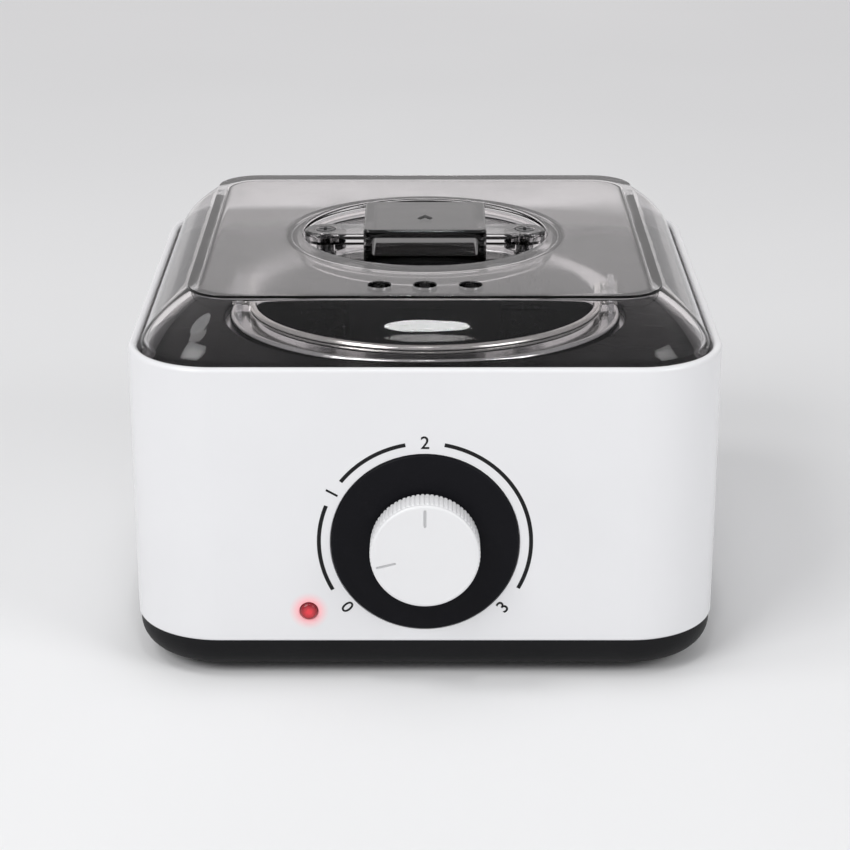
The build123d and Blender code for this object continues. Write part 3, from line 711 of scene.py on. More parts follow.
@dataclass(frozen=True)
class LitPlastic(Plastic):
    """The casing's white plastic, with a painted glow round the lamp in it: its pink light painted into the colour and
    given as a faint emission.
    """

    halo: float = 5.8
    tint: Colour = (0.92, 0.30, 0.33)
    fade: float = 1.4
    painted_glow_share: float = 0.85
    glow: float = 0.25

    def tone(self, net: Net, tone: NodeSocket, shader: Node) -> NodeSocket:
        """Paints the lamp's light onto the plastic round it, as a painted glow in its colour and a faint emission.

        Args:
            net: the material's net.
            tone: the plain tone.
            shader: the material's shader.

        Returns:
            The tinted tone.
        """
        # Painted glow: the lamp's pink light round the lens, painted into the casing's colour and its emission
        near = net.remap(net.out_from(LAMP_SPOT, ALL), (LENS_RADIUS * MM, self.halo * MM), (1.0, 0.0))
        soft = net.reckon("POWER", near, self.fade)
        glow = net.mix(soft, (0.0, 0.0, 0.0), self.tint)
        net.feed(shader, {"Emission Color": glow, "Emission Strength": self.glow})
        return net.mix(net.times(soft, self.painted_glow_share), tone, self.tint)


@dataclass(frozen=True)
class Metal(Finish):
    """A worked metal."""

    lay: Lay = Lay.TUMBLED
    spread: float = 0.12
    depth: float = 0.15

    def where(self, net: Net) -> NodeSocket:
        """Gives the coordinates along which the metal's fine lines run.

        Args:
            net: the material's net.

        Returns:
            The coordinates.
        """
        if self.lay is not Lay.SPUN:
            return net.stretched(self.lay.value)
        lines_out, _, lines_up = self.lay.value
        out, up = net.times(net.out_from(), lines_out), net.times(net.axes()["Z"], lines_up)
        return net.put("ShaderNodeCombineXYZ", {0: out, 2: up})[0]

    def fill(self, net: Net, shader: Node) -> None:
        """Feeds the shader with the metal's fine lines.

        Args:
            net: the material's net.
            shader: its shader.
        """
        made = net.effect(
            tool_marks, Where=self.where(net), Gloss=self.gloss, Spread=self.spread, Depth=self.depth
        )
        net.feed(shader, {"Metallic": 1.0, "Roughness": self.rough(net, made["Gloss"]), "Normal": made["Normal"]})
        net.feed(shader, {"Base Color": self.tone(net, net.tint(made["Tone"], self.colour), shader)})


@dataclass(frozen=True)
class CoatedMetal(Metal):
    """The pot's spun metal, with a dark coat inside the cup."""

    coat: Colour = (0.014, 0.014, 0.0155)
    fleck: Colour = (0.05, 0.05, 0.052)
    bore: float = POT_BORE + 0.8
    lip: float = POT_TOP - 0.7
    floor: float = POT_FLOOR - 1.0

    def tone(self, net: Net, tone: NodeSocket, shader: Node) -> NodeSocket:
        """Coats the inside: below the lip, inside the wall and above the floor.

        Args:
            net: the material's net.
            tone: the bare metal's tone.
            shader: the material's shader.

        Returns:
            The tone with the coat.
        """
        height = net.axes()["Z"]
        inside = net.ramp(net.out_from(), self.bore, self.bore - 0.1)
        below, above = net.ramp(height, self.lip + 0.4, self.lip), net.ramp(height, self.floor, self.floor + 0.1)
        mask = net.times(inside, below, above)
        net.feed(shader, {"Metallic": net.reckon("SUBTRACT", 1.0, mask)})
        speck = net.remap(net.noise(900.0, 1.0), (0.62, 0.72), (0.0, 0.3))
        return net.mix(mask, tone, net.mix(speck, self.coat, self.fleck))


@dataclass(frozen=True)
class HeatedMetal(Metal):
    """Steel that has been hot: straw and blue patches on grey."""

    straw: Colour = (0.42, 0.30, 0.16)
    blue: Colour = (0.16, 0.18, 0.34)

    def tone(self, net: Net, tone: NodeSocket, shader: Node) -> NodeSocket:
        """Adds the heat's colours.

        Args:
            net: the material's net.
            tone: the plain tone.
            shader: the material's shader; not used.

        Returns:
            The tinted tone.
        """
        patch = net.noise(40.0, 3.0)
        warm = net.mix(net.remap(patch, (0.45, 0.62), (0.0, 0.7)), tone, self.straw)
        return net.mix(net.remap(patch, (0.62, 0.75), (0.0, 0.6)), warm, self.blue)


@dataclass(frozen=True)
class ClearPlastic(Finish):
    """A see-through moulding."""

    marks: float = 0.05
    refraction: float = 1.49
    # Colour of the painted shade in the lid's and the grip's tones
    dark: Colour = (0.0003, 0.00028, 0.00028)

    def fill(self, net: Net, shader: Node) -> None:
        """Feeds the shader with a clear, faintly waved skin.

        Args:
            net: the material's net.
            shader: its shader.
        """
        net.feed(shader, {
            "Base Color": self.tone(net, net.clouded(self.colour, 18.0, 3.0, 0.03), shader),
            "Roughness": self.rough(net, self.gloss), "Normal": net.bump(0.035, 2.0, net.noise(38.0, 1.0)),
            "IOR": self.refraction, "Transmission Weight": 1.0,
        })


@dataclass(frozen=True)
class GripPlastic(ClearPlastic):
    """The grip's plastic: a smoky sleeve on clear wings, with painted shade where light would come the long way
    through it and in the sleeve's window.
    """

    wing: Colour = (0.80, 0.785, 0.79)
    window_shade: Colour = (0.03, 0.029, 0.029)
    sleeve: float = 18.2
    window: float = 15.7
    window_top: float = 110.8
    edge: float = 106.5

    def tone(self, net: Net, tone: NodeSocket, shader: Node) -> NodeSocket:
        """Clears the wings, and paints shade on the sleeve's ends and window and on the wings' lower edges.

        Args:
            net: the material's net.
            tone: the sleeve's tone.
            shader: the material's shader; not used.

        Returns:
            The tone of the whole grip.
        """
        parts, ramp = net.axes(), net.ramp
        beside, height = net.reckon("ABSOLUTE", parts["X"]), parts["Z"]
        sleeve = ramp(beside, self.sleeve + 0.2, self.sleeve)
        edge = net.times(
            ramp(height, self.edge, self.edge - 0.1), ramp(height, self.edge - 1.0, self.edge - 0.9)
        )
        window = net.times(
            ramp(beside, self.window + 0.1, self.window), ramp(height, self.window_top + 0.1, self.window_top)
        )
        # Painted shade: faces that look to the front or back on the sleeve and the wings' lower edges, and the
        # sleeve's window, are painted dark
        ends = net.remap(net.reckon("ABSOLUTE", net.outward()["Y"]), (0.45, 0.8))
        shaded_window = net.mix(window, net.mix(sleeve, self.wing, tone), self.window_shade)
        return net.mix(net.times(ends, net.most(sleeve, edge)), shaded_window, self.dark)


@dataclass(frozen=True)
class BoredPlastic(ClearPlastic):
    """The lid's plastic, with painted shade in its steam holes and along its front edge, and a softly clouded flat
    top.
    """

    holes: tuple[Span, ...] = tuple((HOLE_PITCH * k, HOLE_FRONT) for k in (-1, 0, 1))
    hole_radius: float = HOLE_RADIUS
    hole_rough: float = 0.12
    step: Span = (LID_TOP - 0.84, LID_TOP - 0.08)
    step_front: Span = (-50.0, -60.0)
    haze: Span = (0.03, 0.16)

    def bored(self, net: Net) -> Feed:
        """Gives a mask of the holes' walls."""
        outs = (net.out_from((*hole, 0.0)) for hole in self.holes)
        return net.most(*(net.ramp(out, self.hole_radius + 0.2, self.hole_radius + 0.1) for out in outs))

    def tone(self, net: Net, tone: NodeSocket, shader: Node) -> NodeSocket:
        """Paints shade on the walls of the holes and on the upright edge at the front.

        Args:
            net: the material's net.
            tone: the clear tone.
            shader: the material's shader; not used.

        Returns:
            The tone of the whole lid.
        """
        # Painted shade: the holes' walls and the upright face of the step at the front are painted dark
        parts, (low, high) = net.axes(), self.step
        above, below = net.ramp(parts["Z"], low, low + 0.05), net.ramp(parts["Z"], high, high - 0.05)
        upright = net.times(above, below, net.ramp(parts["Y"], *self.step_front))
        return net.mix(net.most(upright, self.bored(net)), tone, self.dark)

    def rough(self, net: Net, gloss: Feed) -> Feed:
        """Clouds the flat top and roughens the walls of the holes.

        Args:
            net: the material's net.
            gloss: the plain roughness.

        Returns:
            The roughness of the whole lid.
        """
        flat = net.ramp(net.axes()["Z"], self.step[1], self.step[1] + 0.05)
        cloud = net.remap(net.noise(34.0, 3.0), (0.36, 0.64), self.haze)
        holes = net.times(self.bored(net), self.hole_rough)
        return net.most(super().rough(net, gloss), net.times(flat, cloud), holes)


@dataclass(frozen=True)
class Lamp(Finish):
    """A lit lens: a bright middle in a deeper rim."""

    rim: Colour = (0.15, 0.003, 0.008)
    glow: float = 0.2
    coat: float = 0.2

    def fill(self, net: Net, shader: Node) -> None:
        """Feeds the shader with a tone that deepens towards the rim.

        Args:
            net: the material's net.
            shader: its shader.
        """
        grain = net.remap(net.noise(1600.0, 2.0), USUAL, (-0.2 * MM, 0.2 * MM))
        out = net.reckon("ADD", net.out_from(LAMP_SPOT, FRONT), grain)
        tone = net.mix(net.ramp(out, 0.25 * LENS_RADIUS, LENS_RADIUS), self.colour, self.rim)
        net.feed(shader, {
            "Base Color": tone, "Emission Color": tone, "Emission Strength": self.glow,
            "Roughness": self.gloss, "Coat Weight": self.coat,
        })


@dataclass(frozen=True)
class FloorPaint(Finish):
    """The studio floor's matt paint."""

    shine: float = 0.2

    def fill(self, net: Net, shader: Node) -> None:
        """Feeds the shader with an almost even tone."""
        tone = net.clouded(self.colour, 3.0, 2.0, 0.015)
        net.feed(shader, {"Base Color": tone, "Roughness": self.gloss, "Specular IOR Level": self.shine})


FINISHES = (
    LitPlastic("white_casing", (0.80, 0.80, 0.815), 0.24, drift=0.012, spread=0.05, grain=420.0, depth=0.05),
    Plastic("white_knob", (0.80, 0.80, 0.81), 0.36, drift=0.012, grain=1500.0, depth=0.08),
    Plastic("black_base", (0.008, 0.008, 0.009), 0.50, drift=0.15, grain=1900.0, depth=0.45, dust=0.2, shine=0.15),
    Plastic(
        "black_deck", (0.005, 0.005, 0.006), 0.26, marks=0.08, drift=0.10, spread=0.04, grain=300.0, depth=0.03,
        shine=0.015,
    ),
    Plastic("black_dial", (0.0055, 0.0055, 0.0075), 0.42, drift=0.10, grain=2200.0, depth=0.30, shine=0.1),
    Plastic("scale_ink", (0.008, 0.008, 0.009), 0.45, drift=0.12, grain=2500.0, depth=0.2, shine=0.2),
    Plastic("mark_paint", (0.56, 0.56, 0.57), 0.5, drift=0.10, grain=2500.0, depth=0.2),
    Plastic("thermostat_resin", (0.16, 0.07, 0.035), 0.45, drift=0.2, grain=1400.0, depth=0.2),
    Plastic("board_resin", (0.10, 0.22, 0.09), 0.4, drift=0.12, grain=1800.0, depth=0.15),
    Plastic("block_resin", (0.66, 0.62, 0.52), 0.4, drift=0.06, grain=1200.0, depth=0.15),
    Plastic("foot_rubber", (0.022, 0.022, 0.022), 0.72, drift=0.2, grain=2600.0, depth=0.5, dust=0.3),
    BoredPlastic("smoke_lid", (0.88, 0.862, 0.866), 0.02, refraction=1.32),
    GripPlastic("smoke_grip", (0.20, 0.193, 0.195), 0.02),
    Lamp("red_lens", (0.66, 0.03, 0.045), 0.22),
    CoatedMetal("pot_aluminium", (0.60, 0.60, 0.605), 0.16, marks=0.1, lay=Lay.SPUN, spread=0.10, depth=0.10),
    Metal("well_aluminium", (0.70, 0.70, 0.71), 0.30, lay=Lay.SPUN, depth=0.25),
    Metal("bail_wire", (0.74, 0.73, 0.71), 0.18, marks=0.12, depth=0.06),
    Metal("screw_steel", (0.66, 0.66, 0.67), 0.26),
    Metal("dark_steel", (0.06, 0.06, 0.062), 0.22, depth=0.12),
    HeatedMetal("heater_steel", (0.52, 0.50, 0.48), 0.35, lay=Lay.DRAWN, depth=0.2),
    Metal("fuse_metal", (0.72, 0.71, 0.68), 0.28, depth=0.1),
    Metal("nut_brass", (0.72, 0.52, 0.24), 0.28),
)


# Repeats and runs

ARC_POINTS = 96
WIRE_SIDES = 20


def solid(net: Net, shape: NodeSocket, given: Sockets) -> Feeds:
    """Ends a tree with real copies that have the given finish."""
    copies = net.put("GeometryNodeRealizeInstances", {0: shape})[0]
    return {0: net.put("GeometryNodeSetMaterial", {"Geometry": copies, "Material": given["Finish"]})[0]}


def swept(net: Net, line: NodeSocket, section: NodeSocket) -> NodeSocket:
    """Draws a section along a line and closes its ends."""
    feeds = {"Curve": line, "Profile Curve": section, "Fill Caps": True}
    return net.put("GeometryNodeCurveToMesh", feeds)[0]


@cache
def grid_tree() -> NodeTree:
    """Builds the tree that sets a piece on a grid of places.

    Returns:
        The tree.
    """
    takes = {"Piece": Plug.SHAPE, "First": Plug.VECTOR, "Step X": Plug.NUMBER, "Step Y": Plug.NUMBER}
    takes |= {"Columns": Plug.COUNT, "Rows": Plug.COUNT, "Finish": Plug.FINISH}
    net, given, finish = new_group("set_on_grid", Use.SHAPE, takes, {"Pieces": Plug.SHAPE})
    along = net.put("ShaderNodeCombineXYZ", {0: given["Step X"]})[0]
    across = net.put("ShaderNodeCombineXYZ", {1: given["Step Y"]})[0]
    line = {"Count": given["Columns"], "Start Location": given["First"], "Offset": along}
    points = net.put("GeometryNodeMeshLine", line)[0]
    column = net.put("GeometryNodeMeshLine", {"Count": given["Rows"], "Offset": across})[0]
    places = net.put("GeometryNodeInstanceOnPoints", {"Points": points, "Instance": column})[0]
    points = net.put("GeometryNodeRealizeInstances", {0: places})[0]
    copies = net.put("GeometryNodeInstanceOnPoints", {"Points": points, "Instance": given["Piece"]})[0]
    return finish(solid(net, copies, given))


@cache
def arc_tree() -> NodeTree:
    """Builds the tree that draws one printed arc as a thin band.

    Returns:
        The tree.
    """
    takes = {"Piece": Plug.SHAPE, "Finish": Plug.FINISH, "Middle": Plug.VECTOR}
    takes |= dict.fromkeys(("Radius", "Start", "Sweep", "Width", "Thickness"), Plug.NUMBER)
    net, given, finish = new_group("printed_arc", Use.SHAPE, takes, {"Band": Plug.SHAPE})
    arc = net.tree.nodes.new("GeometryNodeCurveArc")
    arc.inputs["Resolution"].default_value = ARC_POINTS
    for label, source in (("Radius", "Radius"), ("Start Angle", "Start"), ("Sweep Angle", "Sweep")):
        net.tree.links.new(given[source], next(s for s in arc.inputs if s.name == label and s.enabled))
    size = {"Width": given["Width"], "Height": given["Thickness"]}
    section = net.put("GeometryNodeCurvePrimitiveQuadrilateral", size)[0]
    upright = {
        "Geometry": swept(net, arc.outputs[0], section), "Translation": given["Middle"],
        "Rotation": (math.pi / 2, 0.0, 0.0),
    }
    return finish(solid(net, net.put("GeometryNodeTransform", upright)[0], given))


@cache
def wire_tree() -> NodeTree:
    """Builds the tree that draws round wire along a line of points.

    Returns:
        The tree.
    """
    takes = {"Line": Plug.SHAPE, "Radius": Plug.NUMBER, "Finish": Plug.FINISH}
    net, given, finish = new_group("bent_wire", Use.SHAPE, takes, {"Wire": Plug.SHAPE})
    line = net.put("GeometryNodeMeshToCurve", {"Mesh": given["Line"]})[0]
    section = net.put("GeometryNodeCurvePrimitiveCircle", {"Resolution": WIRE_SIDES, "Radius": given["Radius"]})[0]
    return finish(solid(net, swept(net, line, section), given))


def grow(piece: Object, tree: NodeTree, feeds: dict[str, object]) -> Object:
    """Runs a tree on a piece and keeps the result as its plain mesh.

    Args:
        piece: the piece that the tree starts from.
        tree: the geometry tree.
        feeds: a value for each of the tree's named inputs.

    Returns:
        The piece with its new mesh.
    """
    change = piece.modifiers.new(tree.name, "NODES")
    change.node_group = tree
    for socket in tree.interface.items_tree:
        if socket.in_out == "INPUT" and socket.name in feeds:
            change[socket.identifier] = feeds[socket.name]
    return shade(freeze(piece))


@dataclass(frozen=True)
class Places:
    """A grid of places about the middle, in millimetres."""

    step_x: float
    step_y: float = 0.0
    columns: int = 2
    rows: int = 1
    front: float = 0.0

    def feeds(self) -> dict[str, object]:
        """Gives the inputs of the grid's tree.

        Returns:
            A value for each input.
        """
        left, low = -self.step_x * (self.columns - 1) / 2, self.front - self.step_y * (self.rows - 1) / 2
        return {
            "First": Vector((left, low, 0)) * MM, "Step X": self.step_x * MM, "Step Y": self.step_y * MM,
            "Columns": self.columns, "Rows": self.rows,
        }


class Bench:
    """Holds the finishes, and dresses and fastens pieces."""

    def __init__(self, finishes: Iterable[Finish]) -> None:
        """Builds each finish once."""
        self.materials = {finish.name: finish.material() for finish in finishes}

    def spread(self, piece: Object, places: Places, finish: str) -> Object:
        """Sets copies of a piece on a grid, and gives them all as the piece."""
        return grow(piece, grid_tree(), places.feeds() | {"Finish": self.materials[finish]})

    def carry_over(self, finish: str, *nodes: str) -> None:
        """Gives carried-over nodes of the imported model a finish.

        Args:
            finish: the finish's name.
            *nodes: the nodes' names.
        """
        for name in nodes:
            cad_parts[name].material_slots[0].material = self.materials[finish]
            LOG.info("%s keeps its solid and takes %s", name, finish)

    def hang(self, piece: Object, finish: str, body: Body, node: str = "", slot: str = "") -> None:
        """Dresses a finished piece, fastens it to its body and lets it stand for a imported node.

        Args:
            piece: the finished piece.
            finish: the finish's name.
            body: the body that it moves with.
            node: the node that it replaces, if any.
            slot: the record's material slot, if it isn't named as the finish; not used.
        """
        piece.data.materials.clear()
        piece.data.materials.append(self.materials[finish])
        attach(piece, body.value)
        if node:
            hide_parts(node)
        LOG.info("%s made, %d faces, rides on %s", piece.name, len(piece.data.polygons), body.value)


# Sub-assemblies


@dataclass
class Screw:
    """A screw with a round head and a cross recess."""

    head_radius: float
    head: float
    shank_radius: float
    face: float
    tip: float
    point: float = 0.5
    point_inset: float = 0.4
    arm: float = 0.62
    arm_width: float = 0.16
    recess_depth: float = 1.1
    recess_taper: float = 0.62
    above: float = 0.2
    flare: float = 1.05
    crown: float = 0.5
    rim: float = 0.15
    facets: int = 40

    def recess(self, out: int) -> Object:
        """Makes the cutter of the cross recess.

        Args:
            out: 1 where the screw's face looks up, -1 where it looks down.

        Returns:
            The cutter.
        """
        reach, width = self.arm * self.head_radius, self.arm_width * self.head_radius
        levels = ((out * self.above, self.flare), (0.0, 1.0), (-out * self.recess_depth, self.recess_taper))
        rings = [[Vector((0, 0, self.face + levels[0][0]))]]
        for level, share in levels:
            ring = []
            for k in range(4):
                turn = Matrix.Rotation(math.pi / 2 * k, 3, "Z")
                for across, along in ((reach, -width), (reach, width), (width, width)):
                    ring.append(turn @ Vector((across * share, along * share, self.face + level)))
            rings.append(ring)
        return skin("recess", [*rings, [Vector((0, 0, self.face + levels[-1][0]))]])

    def build(self, name: str) -> Object:
        """Builds the screw on the third axis, between its face and its tip.

        Args:
            name: the screw's name.

        Returns:
            The screw.
        """
        out = 1 if self.face > self.tip else -1
        seat, point = self.face - out * self.head, self.tip + out * self.point
        profile = rounded([
            (0, self.face, 0), (self.head_radius, self.face, self.crown), (self.head_radius, seat, self.rim),
            (self.shank_radius, seat, 0), (self.shank_radius, point, 0),
            (self.shank_radius - self.point_inset, self.tip, 0), (0, self.tip, 0),
        ], steps=4)
        screw = skin(name, turned(profile, self.facets))
        cut(screw, self.recess(out))
        return screw


@dataclass
class Stand:
    """The base's rubber feet and screws."""

    foot_radius: float = 7.0
    foot_height: float = 2.5
    dimple: float = 0.6
    dimple_radius: float = 3.5
    dimple_floor: float = 3.0
    plug_radius: float = 2.5
    plug_top: float = 6.0
    foot_span: float = 124.0
    facets: int = 64
    screw: Screw = field(default_factory=lambda: Screw(3.6, 2.4, 1.8, 5.1, 46.0))
    post_width: float = 133.0
    post_depth: float = 80.0

    def build(self, bench: Bench) -> None:
        """Builds the feet and the screws, and dresses the base.

        Args:
            bench: the bench that dresses them.
        """
        profile = rounded([
            (0, self.dimple, 0), (self.dimple_floor, self.dimple, 0.2), (self.dimple_radius, 0, 0.2),
            (self.foot_radius, 0, 0.8), (self.foot_radius, self.foot_height, 0.3),
            (self.plug_radius, self.foot_height, 0.2), (self.plug_radius, self.plug_top, 0.6), (0, self.plug_top, 0),
        ])
        feet = skin("stand_feet", turned(profile, self.facets))
        bench.spread(feet, Places(self.foot_span, self.foot_span, 2, 2), "foot_rubber")
        bench.hang(feet, "foot_rubber", Body.HOUSING, "rubber_feet")
        screws = self.screw.build("stand_screws")
        bench.spread(screws, Places(self.post_width, self.post_depth, 2, 2), "screw_steel")
        bench.hang(screws, "screw_steel", Body.HOUSING, "base_screws")
        bench.carry_over("black_base", "base_cover")


@dataclass
class Casing:
    """The white casing, its deck and well, and the cord's entry at the back."""

    back: float = CASING_HALF
    wall: float = 2.7
    entry_height: float = 22.0
    bore: float = 3.2
    thread_radius: float = 5.2
    inside: float = 8.0
    flange_radius: float = 8.5
    flange: float = 2.0
    nose: float = 9.0
    nose_radius: float = 6.2
    tip_radius: float = 5.0
    grooves: tuple[float, ...] = (3.2, 4.9, 6.6)
    groove_width: float = 0.8
    groove_depth: float = 0.55
    groove_slope: float = 0.15
    facets: int = 96

    def nose_at(self, height: float) -> float:
        """Gives the nose's radius at a distance out from the casing."""
        share = (height - self.flange) / (self.nose - self.flange)
        return self.nose_radius + share * (self.tip_radius - self.nose_radius)

    def gland(self) -> Object:
        """Builds the cord's gland with its ringed nose.

        Returns:
            The gland.
        """
        end = -self.wall - self.inside
        corners: list[Corner] = [
            (self.bore, end, 0.3), (self.thread_radius, end, 0.4), (self.thread_radius, 0, 0),
            (self.flange_radius, 0, 0.2), (self.flange_radius, self.flange, 0.6), (self.nose_radius, self.flange, 0.3),
        ]
        for start in self.grooves:
            stop, slope = start + self.groove_width, self.groove_slope
            for height, deep in ((start, 0), (start + slope, 1), (stop - slope, 1), (stop, 0)):
                corners.append((self.nose_at(height) - deep * self.groove_depth, height, 0))
        corners += [(self.tip_radius, self.nose, 0.6), (self.bore, self.nose, 0.4)]
        rings = turned(rounded(corners, closed=True), self.facets)
        return skin("cord_entry", rings, facing(self.back, self.entry_height), closed=True)

    def build(self, bench: Bench) -> None:
        """Dresses the casing and builds the gland.

        Args:
            bench: the bench that dresses them.
        """
        bench.carry_over("white_casing", "outer_shell")
        bench.carry_over("black_deck", "top_deck")
        bench.carry_over("well_aluminium", "heating_well")
        bench.hang(self.gland(), "black_base", Body.HOUSING, "cord_gland")


@dataclass
class Works:
    """The pieces inside the casing, which keep their solids."""

    finishes: tuple[tuple[str, tuple[str, ...]], ...] = (
        ("heater_steel", ("heater_band", "fuse_clip")),
        ("fuse_metal", ("thermal_fuse",)),
        ("thermostat_resin", ("thermostat_body",)),
        ("nut_brass", ("thermostat_nut", "terminal_screws")),
        ("screw_steel", ("thermostat_shaft", "band_screw", "well_screws")),
        ("board_resin", ("lamp_board",)),
        ("block_resin", ("terminal_block",)),
        ("black_base", ("gland_nut",)),
        ("red_lens", ("indicator_lens", "indicator_led")),
    )

    def build(self, bench: Bench) -> None:
        """Dresses the works."""
        for finish, nodes in self.finishes:
            bench.carry_over(finish, *nodes)


@dataclass
class Dial:
    """The dial: its black disc, the printed scale round it, and the knob."""

    front: float = -CASING_HALF
    height: float = 42.2
    ring_radius: float = 29.4
    ring_width: float = 1.1
    ink: float = 0.08
    arcs: tuple[Span, ...] = ((-119.0, -68.0), (-52.0, -10.5), (10.5, 118.0))
    figures: tuple[tuple[str, float, float], ...] = (
        ("0", -132.0, 48.0), ("1", -60.0, -60.0), ("2", 0.0, 0.0), ("3", 132.0, -48.0),
    )
    figure_size: float = 5.2
    figure_bold: float = 0.05
    knob_radius: float = 15.2
    knob_back: float = 1.4
    knob_front: float = 10.0
    knob_inside: float = 7.8
    knob_wall: float = 2.2
    knob_edge: float = 0.3
    cap: float = 1.4
    cap_radius: float = 15.0
    flutes: int = 72
    flute_radius: float = 0.32
    flute_stops: tuple[float, ...] = (-1.0, -0.7, 0.0, 0.7)
    flute_ends: tuple[Span, ...] = ((0.02, 0.2), (0.2, 0.03))
    land_steps: int = 4
    hub_radius: float = 5.2
    hub_back: float = 4.2
    hub_bore: float = 3.3
    hub_flat: float = 2.3
    hub_edge: float = 0.3
    hub_land: float = 0.4
    back_land: float = 0.9
    marks: tuple[Corner, ...] = ((90.0, 5.2, 0.8), (194.0, 5.6, 0.7))
    mark_edge: float = 1.4
    mark_depth: float = 0.35
    mark_gap: float = 0.06
    paint: Span = (-0.05, 0.08)

    def place(self) -> Matrix:
        """Gives the plane of the dial, which looks out of the casing's front."""
        return facing(self.front, self.height)

    def scale_ring(self, bench: Bench) -> Object:
        """Prints the ring's arcs.

        Args:
            bench: the bench with the ink.

        Returns:
            The printed ring.
        """
        bands = []
        for start, stop in self.arcs:
            feeds = {
                "Radius": self.ring_radius * MM, "Start": math.radians(90 - stop),
                "Sweep": math.radians(stop - start), "Width": self.ring_width * MM, "Thickness": self.ink * MM,
                "Middle": Vector((0, self.front, self.height)) * MM, "Finish": bench.materials["scale_ink"],
            }
            bands.append(grow(stand("band", bpy.data.meshes.new("band")), arc_tree(), feeds))
        return join("scale_ring", bands)

    def scale_figures(self) -> Object:
        """Prints the numbers of the settings.

        Returns:
            The printed numbers.
        """
        pieces = []
        for text, angle, tilt in self.figures:
            curve = bpy.data.curves.new("figure", "FONT")
            curve.body, curve.size, curve.offset = text, self.figure_size, self.figure_bold
            curve.extrude, curve.resolution_u = self.ink / 2, 6
            curve.align_x, curve.align_y = "CENTER", "CENTER"
            source = stand("figure", curve)
            mesh = evaluated(source)
            bpy.data.objects.remove(source)
            spot = around(1.0, math.radians(90 - angle)) * self.ring_radius
            place = Matrix.Scale(MM, 4) @ self.place() @ Matrix.Translation(spot)
            mesh.transform(place @ Matrix.Rotation(math.radians(-tilt), 4, "Z"))
            pieces.append(stand("figure", mesh))
        return join("scale_figures", pieces)

    def knob_points(self) -> int:
        """Gives the number of points in each ring of the knob."""
        return self.flutes * (len(self.flute_stops) + self.land_steps)

    def flank(self, height: float, inset: float = 0.0) -> Ring:
        """Gives one fluted ring of the knob's flank.

        Args:
            height: distance out from the casing.
            inset: how far the whole ring is drawn in.

        Returns:
            The ring.
        """
        pitch = 2 * math.pi * self.knob_radius / self.flutes
        land = (pitch - 2 * self.flute_radius) / self.land_steps
        stops = [self.flute_radius * share for share in self.flute_stops]
        stops += [self.flute_radius + land * k for k in range(self.land_steps)]
        ring = []
        for k in range(self.flutes):
            for stop in stops:
                depth = math.sqrt(max(self.flute_radius**2 - stop**2, 0.0))
                ring.append(around(self.knob_radius - depth - inset, (k * pitch + stop) / self.knob_radius, height))
        return ring

    def bore(self, height: float) -> Ring:
        """Gives one ring of the hub's bore, with the flat for the shaft.

        Args:
            height: distance out from the casing.

        Returns:
            The ring.
        """
        ring = circle(self.hub_bore, height, self.knob_points())
        for point in ring:
            point.y = min(point.y, self.hub_flat)
        return ring

    def mark_outlines(self, trim: float = 0.0) -> list[Ring]:
        """Gives the outlines of the knob's two marks.

        Args:
            trim: how much narrower and shorter they are.

        Returns:
            The outlines.
        """
        outlines = []
        for angle, length, width in self.marks:
            turn = math.radians(angle)
            middle = around(self.knob_radius - self.mark_edge - length / 2, turn).to_2d()
            outlines.append(slot_outline(length - trim, width - trim, middle, turn))
        return outlines

    def knob(self) -> Object:
        """Builds the knob: smooth cap, fluted flank, hollow back and hub.

        Returns:
            The knob.
        """
        count, step, edge = self.knob_points(), self.knob_front - self.cap, self.knob_edge
        inner = self.knob_radius - self.knob_wall
        cap = rounded([(0, self.knob_front, 0), (self.cap_radius, self.knob_front, 0.7), (self.cap_radius, step, 0)])
        hollow = rounded([
            (inner + self.back_land, self.knob_back, 0), (inner, self.knob_back, 0.3), (inner, self.knob_inside, 0.5),
            (self.hub_radius, self.knob_inside, 0.5), (self.hub_radius, self.hub_back, self.hub_edge),
            (self.hub_bore + self.hub_land, self.hub_back, 0),
        ], steps=3)
        knob = skin("heat_knob", [
            *turned(cap, count), *(self.flank(step - drop, inset) for drop, inset in self.flute_ends),
            self.flank(step - edge), self.flank(self.knob_back + edge), self.flank(self.knob_back, edge),
            *turned(hollow, count), self.bore(self.hub_back + self.hub_edge), self.bore(self.knob_inside),
            [Vector((0, 0, self.knob_inside))],
        ], self.place())
        for outline in self.mark_outlines():
            cut(knob, plate("mark", outline, self.knob_front - self.mark_depth, self.knob_front + 1, self.place()))
        return knob

    def paint_marks(self) -> Object:
        """Fills the knob's marks with a thin layer of paint.

        Returns:
            The paint.
        """
        low, high = (self.knob_front - self.mark_depth + level for level in self.paint)
        outlines = self.mark_outlines(self.mark_gap)
        return join("knob_marks", [plate("fill", outline, low, high, self.place()) for outline in outlines])

    def build(self, bench: Bench) -> None:
        """Builds the scale and the knob, and dresses the disc.

        Args:
            bench: the bench that dresses them.
        """
        bench.carry_over("black_dial", "dial_plate")
        bench.hang(self.scale_ring(bench), "scale_ink", Body.HOUSING, slot="black_dial")
        bench.hang(self.scale_figures(), "scale_ink", Body.HOUSING, slot="black_dial")
        bench.hang(self.knob(), "white_knob", Body.KNOB, "control_knob")
        bench.hang(self.paint_marks(), "mark_paint", Body.KNOB, slot="black_dial")


